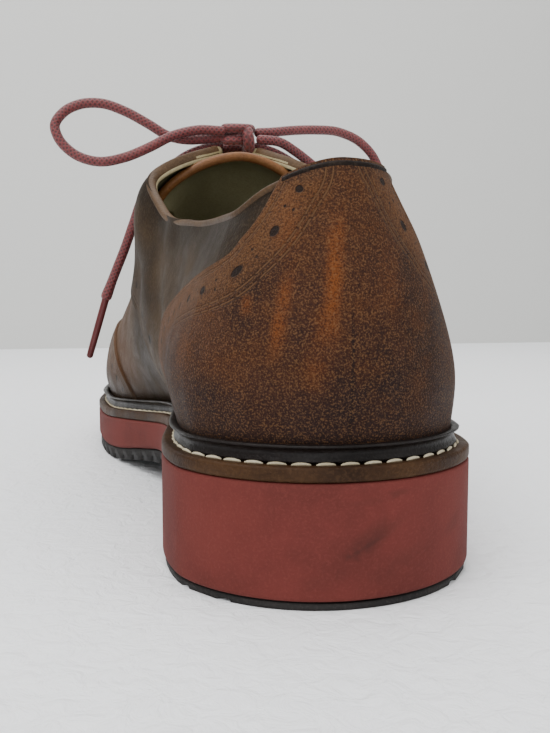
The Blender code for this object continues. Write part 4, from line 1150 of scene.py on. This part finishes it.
fineStations = np.linspace(0, 1, 260)
sole = {"bond": 0.0003, "round": 0.0012, "topRound": 0.6}  # topRound is a share of round


# Block between the first and the last ring of a profile, closed straight across at both
def addBlock(name, node, profile, material):
    points = ringGrid(profile, fineStations)
    wall = (points, gridQuads(*points.shape[:2], closedColumns=True), ringOutward(points))
    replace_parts(addPiece(name, [wall, strip(points[0], -1.0), strip(points[-1], 1.0)], material), node)


# Strip whose profile closes on itself and runs all the way round
def addBand(name, node, points, material):
    quads = gridQuads(*points.shape[:2], closedRows=True, closedColumns=True)
    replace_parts(addPiece(name, [(points, quads, ringOutward(points))], material), node)


# Midsole: a quarter round at its foot, a straight side blended from foot to top, and a smaller round there
def makeMidsole():
    base, edge, r = sole["bond"], last["weltEdge"], sole["round"]
    small = r * sole["topRound"]

    def side(k):
        return lambda y: treadBy(base + r)(y) * (1 - k) + (soleHeight(y, "soleOver") - small) * k

    footTurn = np.linspace(0, math.pi / 2, 6)
    foot = [(edge - r * (1 - math.sin(a)), treadBy(base + r * (1 - math.cos(a)))) for a in footTurn]
    upright = [(edge, side(k)) for k in np.linspace(0.06, 0.94, 14)]
    top = [
        (edge - small * (1 - math.cos(a)), overBy(-small * (1 - math.sin(a))))
        for a in np.linspace(0, math.pi / 2, 5)
    ]
    addBlock("midsole_block", "midsole", foot + upright + top, midsoleFoam)


# Welt: a flat strip with rounded edges and a shallow channel on top for its stitches
def makeWelt():
    low, high, edge = last["gap"] * 0.3, last["gap"] + last["weltDepth"], last["weltEdge"]
    r, channel = 0.0008, 0.0003
    profile = [(-innerWall, overBy(low)), (edge - r, overBy(low))]
    lowTurn, highTurn = np.linspace(0.2, math.pi / 2, 5), np.linspace(0, math.pi / 2, 6)
    profile += [(edge - r + r * math.sin(a), overBy(low + r * (1 - math.cos(a)))) for a in lowTurn]
    profile += [(edge - r + r * math.cos(a), overBy(high - r + r * math.sin(a))) for a in highTurn]
    profile += [(edge - 0.0020, overBy(high)), (edge - 0.0030, overBy(high - channel))]
    profile += [(edge - 0.0040, overBy(high)), (-innerWall, overBy(high))]
    addBand("welt_strip", "welt", ringGrid(profile, fineStations), weltLeather)


# Points all round the upper at a height above its foot and a distance off its leather
def wallRing(height, out, stations):
    around = np.concatenate([stations, stations[1:-1][::-1]])
    side = np.concatenate([-np.ones(len(stations)), np.ones(len(stations) - 2)])
    foot, crest = lastPoint(around, side, 0.0), lastPoint(around, side, 1.0)
    shares = np.linspace(0, 0.5, 60)
    heights = [np.full_like(shares, level) for level in last["levels"]]
    shareUp = climb(heights, shares, heights[3])
    rise = np.interp(height / (crest[:, 2] - foot[:, 2]), shareUp, shares)
    ring = lastPoint(around, side, rise, out)
    ring[:, 2] = footHeight(ring[:, 1] + shift[1]) + height
    return ring


# Rand: a strip off the counter with a hollow face and a lip, from (height, stand-off) round its section
def makeRand():
    inner = last["overlay"] - 0.0002
    profile = (
        (0.0, inner), (0.0, inner + 0.0019), (0.0004, inner + 0.0018), (0.0010, inner + 0.0014),
        (0.0017, inner + 0.0011),
        (0.0024, inner + 0.0011), (0.0028, inner + 0.0014), (0.0030, inner + 0.0019),
        (0.0032, inner + 0.0022),
        (0.0035, inner + 0.0022), (0.0037, inner + 0.0019), (0.0038, inner + 0.0014),
        (0.0037, inner + 0.0007),
        (0.0034, inner),
    )
    points = np.stack([wallRing(height, out, fineStations) for height, out in profile])
    addBand("rand_strip", "rand", points, randRubber)


# Welt stitches: small lens-shaped threads a pitch apart, slanted across the line
def makeStitches():
    pitch, length, width, margin = 0.0050, 0.0042, 0.00042, last["weltEdge"] - 0.0029
    line = footLoop(margin, np.linspace(0, 1, 1200))
    line = np.vstack([line, line[:1]])
    lengths = lengthsAlong(line)
    count = int(round(lengths[-1] / pitch))
    at = np.linspace(0, lengths[-1], count, endpoint=False)

    def onLine(place):
        return np.column_stack([np.interp(place, lengths, line[:, k]) for k in range(2)])

    centre = onLine(at)
    ahead = onLine(at + probe) - centre
    ahead /= np.maximum(np.linalg.norm(ahead, axis=1, keepdims=True), 1e-9)
    aside = np.stack([-ahead[:, 1], ahead[:, 0]], axis=1)
    slant, sunk, bulge = 0.12, 0.0002, 0.0003
    way = ahead * math.cos(slant) + aside * math.sin(slant)
    cross = np.stack([-way[:, 1], way[:, 0]], axis=1)
    u = np.linspace(0, math.pi, 9)
    w = np.linspace(0, 2 * math.pi, 8, endpoint=False)
    lengthwise = -np.cos(u) * length / 2
    size = np.sin(u) ** 0.7 * width
    top = soleHeight(centre[:, 1] + shift[1], "soleOver") + last["gap"] + last["weltDepth"]
    points = np.zeros((count, len(u), len(w), 3))
    points[..., :2] = (
        centre[:, None, None] + way[:, None, None] * lengthwise[None, :, None, None]
        + cross[:, None, None] * (size[:, None] * np.cos(w)[None])[None, ..., None])
    points[..., 2] = (
        top[:, None, None] - sunk + (size[:, None] * np.sin(w)[None] * 0.9)[None]
        + bulge * np.sin(u)[None, :, None])
    each = len(u) * len(w)
    quads = [gridQuads(len(u), len(w), closedColumns=True, base=k * each) for k in range(count)]
    core = points.mean(axis=2, keepdims=True)
    addPiece("welt_stitches", [(points, np.concatenate(quads), points - core)], weltThread, merge=0)


# Insole: a footbed inside the lining, its top edge rounded in two steps
def makeInsole():
    edge = -innerWall - 0.0006
    low, thick = last["gap"], last["weltDepth"] + last["gap"] + 0.0015
    steps = ((0.0, 0.0), (0.0, 0.7), (0.0004, 0.9), (0.0014, 1.0))  # distance in, share of the thickness
    profile = [(edge - inward, overBy(low + thick * share)) for inward, share in steps]
    addBlock("footbed", "insole", profile, liningLeather)


tread = {
    "pitch": 0.0095, "width": 0.0026, "slope": 0.0004, "inset": 0.0006,
    "bare": ((0.08, 0.17), (0.63, 0.72)),  # shares of the length without grooves
    "ends": (0.0, 0.0002, 0.001, 0.003, 0.006, 0.010, 0.014, 0.02),  # shares where an end's round is read
}


# Tread: bars across the sole with sloped grooves between them, and a rounded rim
def makeTread():
    pitch, width, slope, length = tread["pitch"], tread["width"], tread["slope"], last["length"]
    bare = [(a * length, b * length) for a, b in tread["bare"]]
    starts = [
        s for s in np.arange(pitch, length - pitch, pitch) if not any(a - width < s < b for a, b in bare)]
    line = footLoop(last["weltEdge"] - tread["inset"], np.linspace(0, 1, 1200))
    half = len(line) // 2
    inner, outer = line[: half + 1], np.append(line[half:], line[:1], axis=0)[::-1]
    ends = (inner[0, 1] + shift[1], inner[-1, 1] + shift[1])
    groove = ((0, 0), (slope, 1), (width - slope, 1), (width, 0))
    rows = [(start + offset, cut) for start in starts for offset, cut in groove]
    rows += [(ends[0] + k * length, 0) for k in tread["ends"]]
    rows += [(ends[1] - k * length, 0) for k in tread["ends"]]
    rows += [(k, 0) for first, final in bare for k in np.linspace(first, final, 8)]
    rows.sort()
    y, cut = np.array([row[0] for row in rows]), np.array([row[1] for row in rows])
    level = y - shift[1]
    left, right = (np.interp(level, edge[:, 1], edge[:, 0]) for edge in (inner, outer))
    low, thick = soleHeight(y, "soleUnder"), treadDepth(y)
    depth = last["grooveDepth"] * thick / last["treadDepth"]
    t = np.linspace(0, 1, 7)
    ground = [np.column_stack([left + (right - left) * k, level, low + cut * depth]) for k in t]
    top = [np.column_stack([right + (left - right) * k, level, low + thick]) for k in t]
    points = np.stack(ground + top, axis=1)
    core = points.mean(axis=1, keepdims=True)
    grids = [(points, gridQuads(*points.shape[:2], closedColumns=True), points - core)]
    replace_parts(addPiece("tread_bars", grids, treadRubber, merge=0, smooth=False), "tread")


makeMidsole()
makeWelt()
makeRand()
makeInsole()
makeTread()
makeStitches()
print("sole done")


tongue = {
    "top": 0.418, "foot": 0.655,  # shares of the length
    "reach": 0.27, "narrowing": 0.11, "sweep": 0.018, "lean": 0.04,  # shares of a section and of the girth
    "ease": 0.0010, "thick": 0.0024, "round": 0.0012, "piping": 0.0016,
}


# Border of a grid of points, once round
def border(points):
    return np.concatenate([points[0], points[1:, -1], points[-1, :-1][::-1], points[1:-1, 0][::-1]])


# Tongue: two sheets under the facings, joined round their border by half a turn, and a piping on its top
def makeTongue():
    rows, columns = 150, 90
    top, bottom = aroundAt(tongue["top"]), aroundAt(tongue["foot"])
    share = np.linspace(0, 1, rows)[:, None]
    offsets = np.linspace(-1, 1, columns)[None]
    place = top + (bottom - top) * share + (1 - share) ** 3 * tongue["sweep"] * offsets**2
    offset = offsets * (tongue["reach"] - tongue["narrowing"] * share) - tongue["lean"] * (1 - share)
    place, offset = np.broadcast_arrays(place, offset)
    under = -(innerWall + tongue["ease"])
    sheets = [across(place, offset, under), across(place, offset, under - tongue["thick"])]
    grids = []
    for points, sign in ((sheets[0], 1.0), (sheets[1], -1.0)):
        outward = sign * (across(place, offset, under + probe) - across(place, offset, under))
        grids.append((points, gridQuads(rows, columns), outward))
    upperLine, lowerLine = border(sheets[0]), border(sheets[1])
    middle = (upperLine + lowerLine) / 2
    along = np.roll(middle, -1, axis=0) - np.roll(middle, 1, axis=0)
    thickness = upperLine - lowerLine
    sideways = np.cross(along, thickness)
    sideways /= np.linalg.norm(sideways, axis=1, keepdims=True)
    if ((middle - middle.mean(axis=0)) * sideways).sum() < 0:
        sideways = -sideways
    turn = np.linspace(0, math.pi, 9)
    points = (
        middle[None] + np.cos(turn)[:, None, None] * thickness[None] / 2
        + tongue["round"] * np.sin(turn)[:, None, None] * sideways[None])
    grids.append((points, gridQuads(len(turn), len(middle), closedColumns=True), points - middle[None]))
    piece = addPiece("tongue_plate", grids, litTongueLeather)
    line = across(place[0], offset[0], under - tongue["round"])
    tube = tubeGrid(line, tongue["piping"], (0.0, 0.0, 1.0), sides=16, capRings=5)
    piping = addPiece("tongue_piping", [tube[:3]], pipingLeather, merge=0)
    for part in (piece, piping):
        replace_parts(part, "tongue")


makeTongue()

# Floor, wall and lights
room = {
    "floor": (0.90, 0.91, 0.93), "wall": (0.60, 0.60, 0.58), "half": 3, "wallAt": 0.70, "wallHigh": 2.5,
}


# A finely rough floor and an upright wall behind it, both plain
def makeRoom():
    material = bpy.data.materials.new("floor_plain")
    tree, shader = newNodes(material)
    where = put(tree, "ShaderNodeTexCoord").outputs["Object"]
    shader.inputs["Base Color"].default_value = (*room["floor"], 1)
    shader.inputs["Roughness"].default_value = 0.6
    addBump(tree, shader, noise(tree, where, 190.0, 4.0, 0.6, 0.8), 0.60, 0.0020)
    wall = bpy.data.materials.new("wall_plain")
    newNodes(wall)[1].inputs["Base Color"].default_value = (*room["wall"], 1)
    half, far, high = room["half"], room["wallAt"], room["wallHigh"]
    for name, corners, finish in (
        ("floor", ((-half, -half, 0), (half, -half, 0), (half, half, 0), (-half, half, 0)), material),
        ("backdrop", ((-half, far, 0), (half, far, 0), (half, far, high), (-half, far, high)), wall),
    ):
        mesh = bpy.data.meshes.new(name)
        mesh.from_pydata(corners, [], [(0, 1, 2, 3)])
        mesh.materials.append(finish)
        item = bpy.data.objects.new(name, mesh)
        bpy.context.scene.collection.objects.link(item)


makeRoom()
lights = {
    "key": {"place": (-0.5, -0.4, 0.9), "power": 9.0, "size": 0.8},
    "fill": {"place": (0.9, -0.7, 0.8), "power": 5.0, "size": 1.0},
    "top": {"place": (0.0, 0.15, 1.2), "power": 14.0, "size": 1.2},
    "front": {"place": (-0.25, -1.2, 0.22), "power": 4.0, "size": 0.7},
}
for name, light in lights.items():
    data = bpy.data.lights.new(name, "AREA")
    data.energy = light["power"]
    data.size = light["size"]
    lamp = bpy.data.objects.new(name, data)
    lamp.location = light["place"]
    lamp.rotation_euler = (Vector((0, 0, 0.05)) - Vector(light["place"])).to_track_quat("-Z", "Y").to_euler()
    bpy.context.scene.collection.objects.link(lamp)
world = bpy.data.worlds.new("studio")
world.use_nodes = True
world.node_tree.nodes["Background"].inputs["Color"].default_value = (0.92, 0.92, 0.91, 1)
world.node_tree.nodes["Background"].inputs["Strength"].default_value = 0.60
bpy.context.scene.world = world
